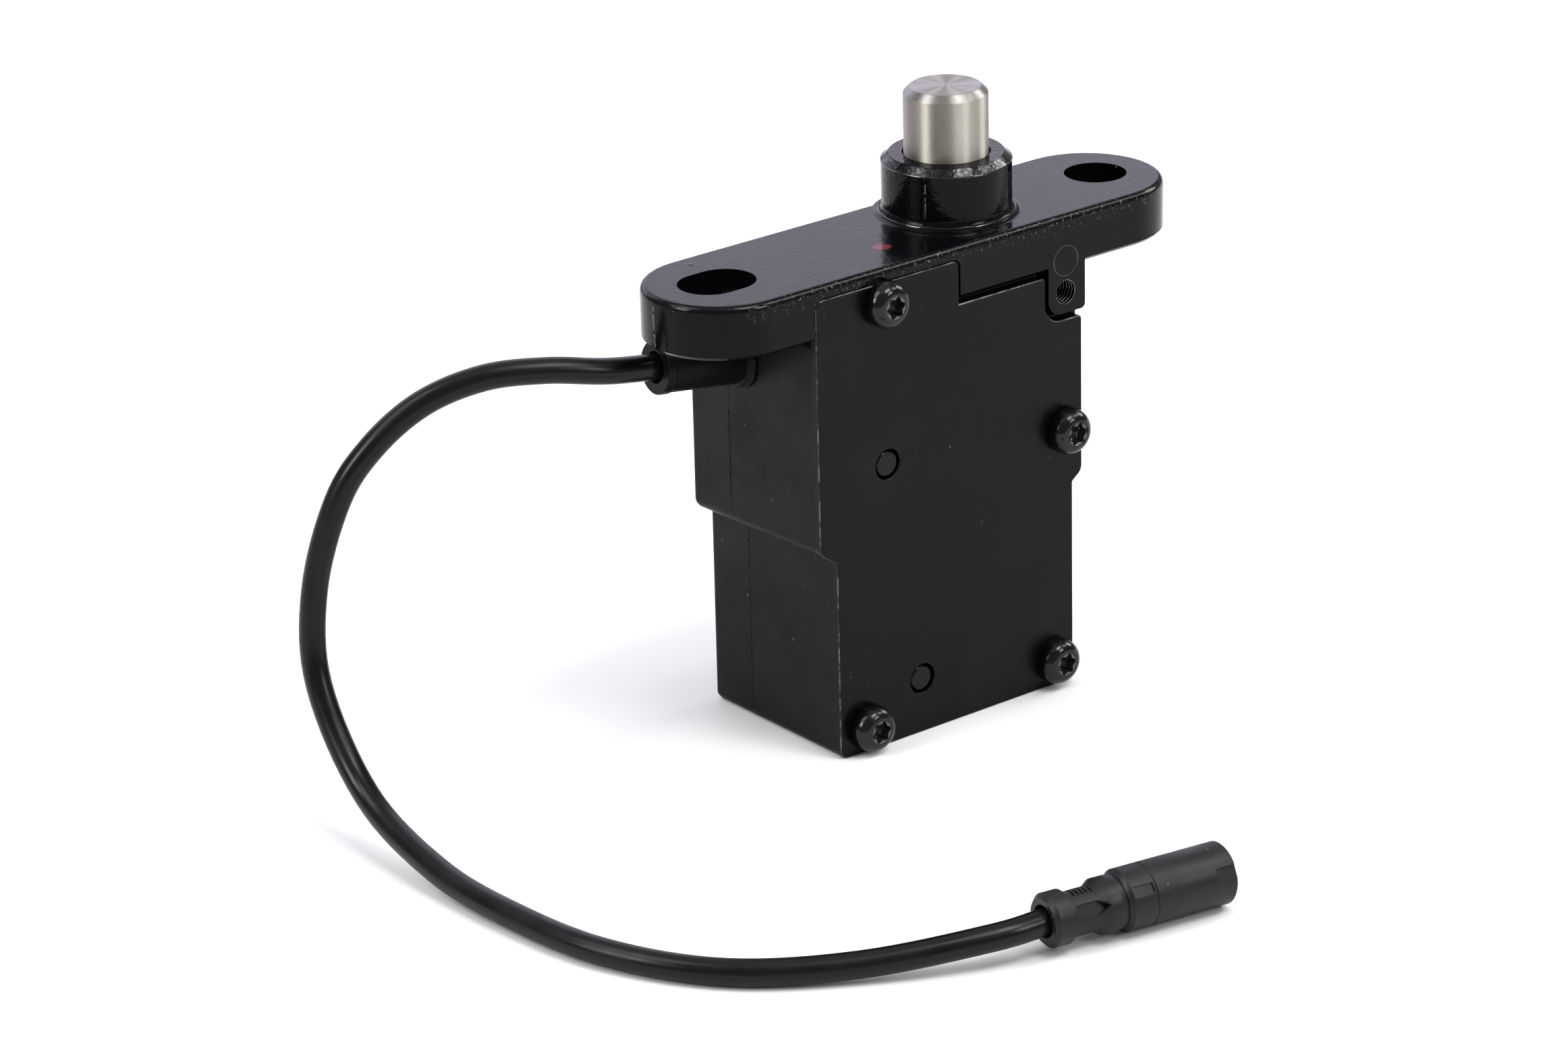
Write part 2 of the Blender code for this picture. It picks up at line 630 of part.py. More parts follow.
def build_flange(lock, material):
    plate = extruded(stadium(-LOBE_LEFT, LOBE_RIGHT, LOBE_Y, LOBE_RADIUS), FLANGE_BOTTOM, FLANGE_TOP)
    for height, width, segments in (
            (FLANGE_TOP, FLANGE_TOP_ROUND, 3), (FLANGE_BOTTOM, FLANGE_BOTTOM_ROUND, 1)):
        rim = [edge for edge in plate.edges
               if all(abs(vert.co.z - height * MM) < MM * SEAM_GAP for vert in edge.verts)]
        bmesh.ops.bevel(plate, geom=rim, offset=width * MM, segments=segments, profile=0.5, affect="EDGES")
    flange = add_piece("mounting_flange", to_mesh(plate, "mounting_flange"), material, lock)

    fillet = []
    for step in range(ARC_STEPS + 1):
        angle = math.radians(90.0 * step / ARC_STEPS)
        fillet.append((COLLAR_RADIUS + COLLAR_FILLET * (1 - math.sin(angle)),
                       FLANGE_TOP + COLLAR_FILLET * (1 - math.cos(angle))))
    root = FLANGE_TOP - COLLAR_FILLET
    join(flange, "collar", turned("collar", [
        (0.0, root), (COLLAR_RADIUS + COLLAR_FILLET, root), *fillet,
        (COLLAR_RADIUS, COLLAR_TOP - COLLAR_CHAMFER), (COLLAR_RADIUS - COLLAR_CHAMFER, COLLAR_TOP),
        (0.0, COLLAR_TOP)], FINE_FACETS))

    ear = [(EAR_LEFT, FLANGE_BOTTOM + WALL, 0.0), (EAR_LEFT, EAR_BOTTOM, EAR_NOTCH_ROUND - 0.4),
           (EAR_RIGHT, EAR_BOTTOM, EAR_CORNER_ROUND), (EAR_RIGHT, FLANGE_BOTTOM + WALL, 0.0)]
    join(flange, "ear", prism("ear", rounded(ear, 2 * ARC_STEPS), FRONT, FRONT + EAR_DEPTH, "Y"))

    bore = [(0.0, FLANGE_BOTTOM - WALL), (SEAT_RADIUS, FLANGE_BOTTOM - WALL), (SEAT_RADIUS, SEAT_TOP),
            (COLLAR_MOUTH_RADIUS, SEAT_TOP), (COLLAR_MOUTH_RADIUS, COLLAR_TOP + WALL),
            (0.0, COLLAR_TOP + WALL)]
    cut(flange, "bore", turned("bore", bore, FINE_FACETS))
    low, high = FLANGE_BOTTOM - WALL, FLANGE_TOP + WALL
    slot_x = -LOBE_LEFT - SLOT_LEFT_OFFSET
    slot = stadium(slot_x - SLOT_HALF_TRAVEL, slot_x + SLOT_HALF_TRAVEL, LOBE_Y, HOLE_RADIUS)
    cut(flange, "left_slot", prism("left_slot", slot, low, high))
    cut(flange, "right_hole", pillar("right_hole", LOBE_RIGHT + HOLE_RIGHT_OFFSET, LOBE_Y, HOLE_RADIUS,
                                     low, high, 2 * LOBE_STEPS))
    recess_left = -UPPER_LEFT - COVER_LIP - TAB_GAP
    recess = [(recess_left, FLANGE_BOTTOM - WALL, 0.0),
              (-TAB_RIGHT + TAB_GAP, FLANGE_BOTTOM - WALL, 0.0),
              (-TAB_RIGHT + TAB_GAP, TAB_TOP + TAB_GAP, TAB_SMALL_ROUND + TAB_GAP),
              (recess_left, TAB_TOP + TAB_GAP, TAB_ROUND + TAB_GAP)]
    cut(flange, "tab_recess", prism("tab_recess", rounded(recess), FRONT - WALL, COVER_BACK + TAB_GAP, "Y"))
    cut(flange, "ear_hole", rod("ear_hole", EAR_HOLE_X, EAR_HOLE_Z, EAR_HOLE_RADIUS,
                                FRONT - WALL, FRONT + EAR_DEPTH + WALL))
    x, z = COVER_SCREWS["cover_screw_top"]
    screw_room = FRONT + SCREW_LENGTH + FIT_GAP
    cut(flange, "screw_hole", rod("screw_hole", x, z, THREAD_HOLE, FRONT - WALL, screw_room))
    for name, (x, y) in FLANGE_SCREWS.items():
        top = FLANGE_BOTTOM + FLANGE_SCREW_REACH + FIT_GAP
        cut(flange, name, pillar(name, x, y, FLANGE_SCREW_RADIUS + SEAM_GAP, low, top))
    return flange


def build_bolt_guide(lock, bronze, rubber):
    seal_z = SEAT_TOP - SEAM_GAP - SEAL_CORD_RADIUS
    ring = BOLT_RADIUS + RUNNING_GAP + SEAL_CORD_RADIUS
    section = [(p.x, p.y) for p in circle(ring, seal_z, SEAL_CORD_RADIUS, SEAL_FACETS)]
    add_piece("bolt_seal", turned("bolt_seal", section, FINE_FACETS, closed=True), rubber, lock)
    inner = BOLT_RADIUS + RUNNING_GAP
    outer = inner + BUSHING_WALL
    low = FLANGE_BOTTOM + SEAM_GAP
    high = seal_z - SEAL_CORD_RADIUS - SEAM_GAP
    wall = [(inner, low), (outer, low), (outer, high), (inner, high)]
    add_piece("bolt_bushing", turned("bolt_bushing", wall, FINE_FACETS, closed=True), bronze, lock)


# Housing and cover

def build_housing(lock, material):
    body = extruded(rounded(HOUSING_CORNERS), RIM, HOUSING_BACK, "Y")
    back = [vert for vert in body.verts if abs(vert.co.y - HOUSING_BACK * MM) < MM * SEAM_GAP]
    for vert in back:
        on_step = LEFT_STEP_FOOT - STEP_ROUND < vert.co.z / MM < LEFT_STEP_TOP + STEP_ROUND
        if vert.co.x < 0.0 and on_step:
            vert.co.z -= SHOULDER_DRAFT * MM
    back_edges = [edge for edge in body.edges if all(vert in back for vert in edge.verts)]
    bmesh.ops.bevel(body, geom=back_edges, offset=BACK_ROUND * MM, segments=3, profile=0.5, affect="EDGES")
    housing = add_piece("housing", to_mesh(body, "housing"), material, lock)

    notch_back = FRONT + EAR_DEPTH + FIT_GAP
    notch = [(EAR_NOTCH_LEFT, EAR_NOTCH_BOTTOM, EAR_NOTCH_ROUND), (UPPER_RIGHT + WALL, EAR_NOTCH_BOTTOM, 0.0),
             (UPPER_RIGHT + WALL, HOUSING_TOP + WALL, 0.0), (EAR_NOTCH_LEFT, HOUSING_TOP + WALL, 0.0)]
    outline = rounded(notch, 2 * ARC_STEPS)
    cut(housing, "ear_notch", prism("ear_notch", outline, FRONT - WALL, notch_back, "Y"))
    step = notch_back + WALL
    front_room = rounded(inset(RIM_CORNERS, WALL))
    back_room = rounded(inset(HOUSING_CORNERS, WALL))
    cut(housing, "front_cavity", prism("front_cavity", front_room, FRONT, step + FIT_GAP, "Y"))
    cut(housing, "back_cavity", prism("back_cavity", back_room, step, CAVITY_BACK, "Y"))

    rail_inner = SLIDER_HALF_WIDTH + SLIDER_RAIL_GAP
    wall_inside = CAVITY_BACK + WALL_BITE
    for side, name in ((-1, "left_rail"), (1, "right_rail")):
        span = sorted((side * rail_inner, side * (rail_inner + RAIL_WIDTH)))
        rail_height = (RAIL_BOTTOM, CAVITY_TOP + WALL_BITE)
        join(housing, name, block(name, span, (RAIL_FRONT, wall_inside), rail_height))
    for index, low in enumerate((CAN_BOTTOM + CRADLE_RIB, GEARBOX_BOTTOM + CRADLE_RIB)):
        name = "cradle_" + str(index)
        join(housing, name, block(name, (-MOTOR_HALF_WIDTH, MOTOR_HALF_WIDTH),
                                  (MOTOR_HALF_DEPTH + FIT_GAP, wall_inside), (low, low + CRADLE_RIB)))
    for name, (x, z) in COVER_SCREWS.items():
        if name == "cover_screw_top":
            continue
        left = max(x - BOSS_HALF, WALL_BITE - LOWER_LEFT)
        right = min(x + BOSS_HALF, (UPPER_RIGHT if z > RIGHT_STEP_TOP else LOWER_RIGHT) - WALL_BITE)
        join(housing, name + "_boss", block(name + "_boss", (left, right), (RIM, RIM + BOSS_DEPTH),
                                            (max(z - BOSS_HALF, WALL_BITE), z + BOSS_HALF)))
        screw_room = FRONT + SCREW_LENGTH + FIT_GAP
        cut(housing, name + "_hole", rod(name + "_hole", x, z, THREAD_HOLE, FRONT, screw_room))
    posts = ((GUIDE_POST, GUIDE_BOSS_LENGTH), (BOARD_POST, BOARD_STANDOFF))
    for index, ((x, z), length) in enumerate(posts):
        name = "post_boss_" + str(index)
        join(housing, name, rod(name, x, z, POST_BOSS_RADIUS, CAVITY_BACK - length, wall_inside))
        cut(housing, name + "_hole", rod(name + "_hole", x, z, POST_RADIUS + SEAM_GAP,
                                         CAVITY_BACK - length - WALL, POST_BACK + SEAM_GAP))
    x, z = BOARD_REST
    rest_front = CAVITY_BACK - BOARD_STANDOFF
    join(housing, "board_rest", rod("board_rest", x, z, POST_RADIUS, rest_front, wall_inside))
    gland_hole = circle(GLAND_Y, GLAND_Z, GLAND_HOLE_RADIUS)
    outside, inside = -UPPER_LEFT - WALL, -UPPER_LEFT + 1.5 * WALL
    cut(housing, "gland_hole", prism("gland_hole", gland_hole, outside, inside, "X"))
    top = (CAVITY_TOP - WALL_BITE, HOUSING_TOP + WALL)
    cut(housing, "bolt_hole", pillar("bolt_hole", 0.0, 0.0, BOLT_RADIUS + 2 * FIT_GAP, *top, ROUND_FACETS))
    for name, (x, y) in FLANGE_SCREWS.items():
        cut(housing, name, pillar(name, x, y, FLANGE_SCREW_RADIUS + SEAM_GAP, *top))
    groove_depth = RIM + GROOVE_DEPTH
    groove_outer = rounded(inset(RIM_CORNERS, GROOVE_INSET))
    groove_inner = rounded(inset(RIM_CORNERS, GROOVE_INSET + GROOVE_WIDTH))
    groove = cut(housing, "gasket_groove", prism("gasket_groove", groove_outer, FRONT, groove_depth, "Y"))
    cut(groove, "core", prism("core", groove_inner, FRONT - WALL, groove_depth + WALL, "Y"))
    return housing


def build_cover(lock, cover_material, rubber):
    plate = extruded(rounded(COVER_CORNERS, 2 * ARC_STEPS), FRONT, COVER_BACK, "Y")
    face = [edge for edge in plate.edges if all(abs(v.co.y - FRONT * MM) < MM * SEAM_GAP for v in edge.verts)]
    bmesh.ops.bevel(plate, geom=face, offset=COVER_EDGE_ROUND * MM, segments=1, affect="EDGES")
    cover = add_piece("front_cover", to_mesh(plate, "front_cover"), cover_material, lock)
    low, high = FRONT - WALL, COVER_BACK + WALL
    for name, (x, z) in COVER_SCREWS.items():
        cut(cover, name, rod(name, x, z, CLEARANCE_HOLE, low, high))
    for name, (x, z) in (("guide_window", GUIDE_POST), ("board_window", BOARD_POST)):
        cut(cover, name, rod(name, x, z, POST_WINDOW, low, high, ROUND_FACETS))

    outer = GROOVE_INSET + GASKET_GAP
    gasket_low = RIM + SEAM_GAP
    gasket_high = RIM + GROOVE_DEPTH - GASKET_GAP
    gasket = add_piece("cover_gasket", prism(
        "cover_gasket", rounded(inset(RIM_CORNERS, outer)), gasket_low, gasket_high, "Y"), rubber, lock)
    inner = GROOVE_INSET + GROOVE_WIDTH - GASKET_GAP
    cut(gasket, "middle", prism("middle", rounded(inset(RIM_CORNERS, inner)), low, high + WALL, "Y"))


# Fasteners and posts

def socket_outline():
    points = []
    for index in range(SOCKET_POINTS):
        angle = 2 * math.pi * index / SOCKET_POINTS
        radius = SOCKET_RADIUS + SOCKET_LOBE * math.cos(SOCKET_LOBES * angle)
        angle += math.radians(SOCKET_TURN)
        points.append(Vector((radius * math.cos(angle), radius * math.sin(angle))))
    return points


def build_cover_screws(lock, material):
    crown = []
    for step in range(ARC_STEPS + 1):
        angle = math.radians(90.0 * step / ARC_STEPS)
        crown.append((HEAD_CROWN_RADIUS + (HEAD_RADIUS - HEAD_CROWN_RADIUS) * math.cos(angle),
                      HEAD_RIM + (HEAD_STANDOUT - HEAD_RIM) * math.sin(angle)))
    profile = [(0.0, -SCREW_LENGTH), (SCREW_RADIUS - SCREW_POINT, -SCREW_LENGTH),
               (SCREW_RADIUS, SCREW_POINT - SCREW_LENGTH), (SCREW_RADIUS, SEAM_GAP), (HEAD_RADIUS, SEAM_GAP),
               *crown, (0.0, HEAD_STANDOUT)]
    for name, (x, z) in COVER_SCREWS.items():
        body = turned(name, profile, ROUND_FACETS, turn=TO_FRONT)
        screw = add_piece(name, body, material, lock, (x, FRONT, z))
        socket = prism("socket", socket_outline(), -HEAD_STANDOUT - WALL, SOCKET_DEPTH - HEAD_STANDOUT, "Y")
        cut(screw, "socket", socket)


def build_posts(lock, material):
    for name, (x, z) in (("guide_post", GUIDE_POST), ("board_post", BOARD_POST)):
        length = POST_BACK - FRONT - POST_RECESS
        profile = [(0.0, 0.0), (POST_RADIUS - POST_CHAMFER, 0.0), (POST_RADIUS, POST_CHAMFER),
                   (POST_RADIUS, length - POST_CHAMFER), (POST_RADIUS - POST_CHAMFER, length), (0.0, length)]
        body = turned(name, profile, MEDIUM_FACETS, turn=TO_FRONT)
        add_piece(name, body, material, lock, (x, POST_BACK, z))


def build_flange_screws(lock, material):
    head_top = CAVITY_TOP - SEAM_GAP
    head_low = head_top - FLANGE_SCREW_HEAD_LENGTH
    profile = [(0.0, head_low), (FLANGE_SCREW_HEAD - SCREW_POINT, head_low),
               (FLANGE_SCREW_HEAD, head_low + SCREW_POINT), (FLANGE_SCREW_HEAD, head_top),
               (FLANGE_SCREW_RADIUS, head_top), (FLANGE_SCREW_RADIUS, FLANGE_BOTTOM + FLANGE_SCREW_REACH),
               (0.0, FLANGE_BOTTOM + FLANGE_SCREW_REACH)]
    for name, (x, y) in FLANGE_SCREWS.items():
        add_piece(name, turned(name, profile, SMALL_FACETS), material, lock, (x, y, 0.0))


# Bolt, slider and drive

def build_bolt(slide, steel):
    profile = [(0.0, BUTTON_BOTTOM), (BOLT_BUTTON_RADIUS, BUTTON_BOTTOM), (BOLT_BUTTON_RADIUS, BUTTON_TOP),
               (BOLT_NECK_RADIUS, BUTTON_TOP), (BOLT_NECK_RADIUS, BOLT_SHOULDER),
               (BOLT_RADIUS, BOLT_SHOULDER), (BOLT_RADIUS, BOLT_TOP - BOLT_CHAMFER),
               (BOLT_RADIUS - BOLT_CHAMFER, BOLT_TOP), (0.0, BOLT_TOP)]
    add_piece("lock_bolt", turned("lock_bolt", profile, FINE_FACETS), steel, slide)


def build_slider(slide, material):
    width = (-SLIDER_HALF_WIDTH, SLIDER_HALF_WIDTH)
    slider = add_piece("bolt_slider", block("bolt_slider", width, (-SLIDER_FRONT, SLIDER_BACK),
                                            (SLIDER_BOTTOM, FORK_TOP)), material, slide)
    join(slider, "arm", block("arm", (-ARM_LEFT, WALL_BITE - SLIDER_HALF_WIDTH),
                              (-ARM_HALF_DEPTH, ARM_HALF_DEPTH), (ARM_BOTTOM, ARM_TOP)))
    spring_room = SPRING_RADIUS + SPRING_WIRE + FIT_GAP
    floors = ((spring_room, SPRING_FLOOR, SPRING_CEILING),
              (BOLT_BUTTON_RADIUS + FIT_GAP, POCKET_BOTTOM, FORK_BOTTOM),
              (BOLT_NECK_RADIUS + FIT_GAP, FORK_BOTTOM - WALL_BITE, FORK_TOP + WALL),
              (HUB_RADIUS + FIT_GAP, SLIDER_BOTTOM - WALL, SPRING_FLOOR + WALL_BITE))
    for index, (radius, low, high) in enumerate(floors):
        keyhole = [Vector((radius, -SLIDER_FRONT - WALL)), *[
            Vector((radius * math.cos(angle), radius * math.sin(angle)))
            for angle in [math.pi * step / ROUND_FACETS for step in range(ROUND_FACETS + 1)]],
            Vector((-radius, -SLIDER_FRONT - WALL))]
        cut(slider, "pocket_" + str(index), prism("pocket", keyhole, low, high))
    x, z = GUIDE_POST
    half = POST_RADIUS + ARM_SLOT_GAP
    slot = [(x - half, z - half, 0.0), (x + half, z - half, 0.0),
            (x + half, z + BOLT_STROKE + half, 0.0), (x - half, z + BOLT_STROKE + half, 0.0)]
    cut(slider, "post_slot", prism("post_slot", rounded(slot), -SLIDER_FRONT, SLIDER_FRONT, "Y"))


def build_spring(slide, steel):
    """Helix whose coils leave their gap where the finger stands, in front of the axis."""
    low = SPRING_BOTTOM + SPRING_WIRE
    high = SPRING_TOP - SPRING_WIRE
    turns = (high - low) / SPRING_PITCH
    finger_angle = -math.pi / 2
    start = finger_angle - 2 * math.pi * ((FINGER_Z - low) / SPRING_PITCH - 0.5)
    count = round(turns * SPRING_POINTS_PER_TURN)
    points = []
    for index in range(count + 1):
        angle = start + 2 * math.pi * turns * index / count
        points.append((SPRING_RADIUS * math.cos(angle), SPRING_RADIUS * math.sin(angle),
                       low + (high - low) * index / count))
    tube("drive_spring", points, 2 * SPRING_WIRE, steel, slide, 1)
    gap = SPRING_PITCH - 2 * SPRING_WIRE
    print("least gap between the drive spring's coils: %.2f mm" % gap)


def build_drive(drive, brass, steel):
    bore_top = SHAFT_TOP + SEAM_GAP
    bore = SHAFT_RADIUS + RUNNING_GAP
    hub = add_piece("drive_hub", turned("drive_hub", [
        (bore, HUB_BOTTOM), (HUB_RADIUS, HUB_BOTTOM), (HUB_RADIUS, HUB_TOP), (0.0, HUB_TOP), (0.0, bore_top),
        (bore, bore_top)], MEDIUM_FACETS, closed=True), brass, drive)
    finger = rod("finger", 0.0, FINGER_Z, FINGER_RADIUS, -FINGER_REACH, -HUB_RADIUS / 2, TINY_FACETS)
    join(hub, "finger", finger)
    shaft_low = GEARBOX_TOP - SHAFT_SEAT
    profile = [(0.0, shaft_low), (SHAFT_RADIUS, shaft_low), (SHAFT_RADIUS, SHAFT_TOP), (0.0, SHAFT_TOP)]
    add_piece("output_shaft", turned("output_shaft", profile, MEDIUM_FACETS), steel, drive)


def build_motor(lock, steel, brass, white):
    def can_outline():
        points = []
        for p in circle(0.0, 0.0, MOTOR_HALF_WIDTH, FINE_FACETS):
            points.append(Vector((p.x, max(-MOTOR_HALF_DEPTH, min(MOTOR_HALF_DEPTH, p.y)))))
        return points

    def plate(low, high, margin=0.0):
        half_x, half_y = MOTOR_HALF_WIDTH - margin, MOTOR_HALF_DEPTH - margin
        signs = ((-1, -1), (1, -1), (1, 1), (-1, 1))
        corners = [(side * half_x, end * half_y, GEARBOX_ROUND) for side, end in signs]
        return prism("plate", rounded(corners), low, high)

    add_piece("motor_can", prism("motor_can", can_outline(), CAN_BOTTOM, CAN_TOP), steel, lock)
    cap_top = MOTOR_BOTTOM + MOTOR_CAP_LENGTH
    add_piece("motor_end_cap", prism("motor_end_cap", can_outline(), MOTOR_BOTTOM, cap_top), white, lock)
    gearbox = add_piece("gearbox", plate(GEARBOX_BOTTOM, GEARBOX_BOTTOM + GEARBOX_PLATE), brass, lock)
    half_plate = GEARBOX_PLATE / 2
    join(gearbox, "gears", plate(GEARBOX_BOTTOM + half_plate, GEARBOX_TOP - half_plate, GEARBOX_INSET))
    join(gearbox, "top_plate", plate(GEARBOX_TOP - GEARBOX_PLATE, GEARBOX_TOP))
    shaft_room = pillar("shaft_room", 0.0, 0.0, SHAFT_RADIUS + RUNNING_GAP,
                        GEARBOX_TOP - SHAFT_SEAT - SEAM_GAP, GEARBOX_TOP + WALL, MEDIUM_FACETS)
    cut(gearbox, "shaft_room", shaft_room)


def build_motor_clip(lock, material):
    back = -MOTOR_HALF_DEPTH - FIT_GAP
    x, z = BOARD_POST
    foot = POST_BOSS_RADIUS
    shelf = COVER_SCREWS["cover_screw_lower_right"][1] + BOSS_HALF + FIT_GAP
    top = CAN_TOP - FIT_GAP
    corners = [(x - foot, z - foot, 1.0), (x + 2 * foot, z - foot, 1.0), (x + 2 * foot, shelf, 0.0),
               (MOTOR_HALF_WIDTH, shelf, 1.0), (MOTOR_HALF_WIDTH, top, 1.0), (x - foot, top, 1.0)]
    clip = add_piece("motor_clip", prism("motor_clip", rounded(corners), back - CLIP_THICKNESS, back, "Y"),
                     material, lock)
    cut(clip, "post_hole", rod("post_hole", x, z, POST_RADIUS + SEAM_GAP, FRONT, 0.0))


# Electronics

def build_board(lock, board_material, dark, white, silver):
    plate = block("circuit_board", (-BOARD_LEFT, -BOARD_RIGHT), (BOARD_FRONT, BOARD_BACK),
                  (BOARD_BOTTOM, BOARD_TOP))
    board = add_piece("circuit_board", plate, board_material, lock)
    x, z = BOARD_POST
    post_room = POST_RADIUS + SEAM_GAP
    cut(board, "post_hole", rod("post_hole", x, z, post_room, BOARD_FRONT - WALL, BOARD_BACK + WALL))
    seat = BOARD_FRONT - SEAM_GAP
    for name, (width, height, depth), (x, z), material in (
            ("driver_chip", CHIP_SIZE, CHIP_PLACE, dark), ("board_header", HEADER_SIZE, HEADER_PLACE, white)):
        add_piece(name, block(name, (x - width / 2, x + width / 2), (seat - depth, seat),
                              (z - height / 2, z + height / 2)), material, lock)
    profile = [(0.0, 0.0), (CAPACITOR_RADIUS, 0.0), (CAPACITOR_RADIUS, CAPACITOR_LENGTH),
               (0.0, CAPACITOR_LENGTH)]
    x, z = CAPACITOR_PLACE
    can = turned("capacitor", profile, SMALL_FACETS, turn=TO_FRONT)
    add_piece("capacitor", can, silver, lock, (x, seat, z))


def build_switch(lock, material, plunger_material):
    width = (SWITCH_X - SWITCH_HALF_WIDTH, SWITCH_X + SWITCH_HALF_WIDTH)
    case = block("bolt_switch", width, (-SWITCH_HALF_DEPTH, SWITCH_HALF_DEPTH), (SWITCH_BOTTOM, SWITCH_TOP))
    body = add_piece("bolt_switch", case, material, lock)
    low = SWITCH_BOTTOM - PLUNGER_SHOWS
    cut(body, "plunger_hole", pillar("plunger_hole", SWITCH_X, 0.0, PLUNGER_RADIUS + RUNNING_GAP,
                                     low, low + PLUNGER_LENGTH + SEAM_GAP, SMALL_FACETS))
    axis = make_empty("switch_axis", (SWITCH_X, 0.0, low), lock)
    profile = [(0.0, 0.0), (PLUNGER_RADIUS, 0.0), (PLUNGER_RADIUS, PLUNGER_LENGTH), (0.0, PLUNGER_LENGTH)]
    add_piece("switch_plunger", turned("switch_plunger", profile, SMALL_FACETS), plunger_material, axis)


# Gland, lead and connector

def build_gland(lock, rubber):
    """Root that snaps into the wall, and a sleeve that leans up and back with the lead."""
    inside = WALL + FIT_GAP
    step = GLAND_ROOT_RADIUS - GLAND_RADIUS
    profile = [(0.0, -inside - 1.2), (GLAND_INNER_FLANGE, -inside - 1.2), (GLAND_INNER_FLANGE, -inside),
               (GLAND_NECK_RADIUS, -inside), (GLAND_NECK_RADIUS, SEAM_GAP), (GLAND_ROOT_RADIUS, SEAM_GAP),
               (GLAND_ROOT_RADIUS, GLAND_ROOT_LIP), (GLAND_RADIUS + step / 3, GLAND_ROOT_LIP + step / 2),
               (GLAND_RADIUS, GLAND_ROOT_LENGTH), (0.0, GLAND_ROOT_LENGTH)]
    place = shifted(-UPPER_LEFT, GLAND_Y, GLAND_Z)
    root = turned("cable_gland", profile, ROUND_FACETS, turn=place @ TO_LEFT)
    gland = add_piece("cable_gland", root, rubber, lock)
    yaw = Matrix.Rotation(math.radians(-GLAND_YAW), 4, "Z")
    lean = yaw @ Matrix.Rotation(math.radians(GLAND_TILT), 4, "Y")
    rim = GLAND_RADIUS + GLAND_RIM_STEP
    entry = CORD_DIAMETER / 2 + CORD_ENTRY_GAP
    sleeve = [(0.0, GLAND_SLEEVE_START), (GLAND_RADIUS - SEAM_GAP, GLAND_SLEEVE_START),
              (GLAND_RADIUS, GLAND_LENGTH - GLAND_RIM - GLAND_RIM_STEP),
              (rim, GLAND_LENGTH - GLAND_RIM), (rim, GLAND_LENGTH - GLAND_RIM_STEP),
              (GLAND_RADIUS, GLAND_LENGTH), (entry, GLAND_LENGTH), (entry, GLAND_LENGTH - CORD_ENTRY_DEPTH),
              (0.0, GLAND_LENGTH - CORD_ENTRY_DEPTH)]
    join(gland, "sleeve", turned("sleeve", sleeve, ROUND_FACETS, turn=place @ lean @ TO_LEFT))


def centred(middle, length, width):
    """Rectangle on a round piece's side: across it, then along its axis."""
    low, high = middle - length / 2, middle + length / 2
    return [(-width / 2, low), (width / 2, low), (width / 2, high), (-width / 2, high)]


def radial_cutter(outline, floor, turn):
    """Cutter into the connector's side, turned about its axis from level towards the front, upwards."""
    shape = extruded([Vector(point) for point in outline], floor, SLEEVE_RADIUS + WALL, "X")
    shape.transform(Matrix.Rotation(math.radians(-90.0 - turn), 4, "Z"))
    return to_mesh(shape, "radial_cutter")


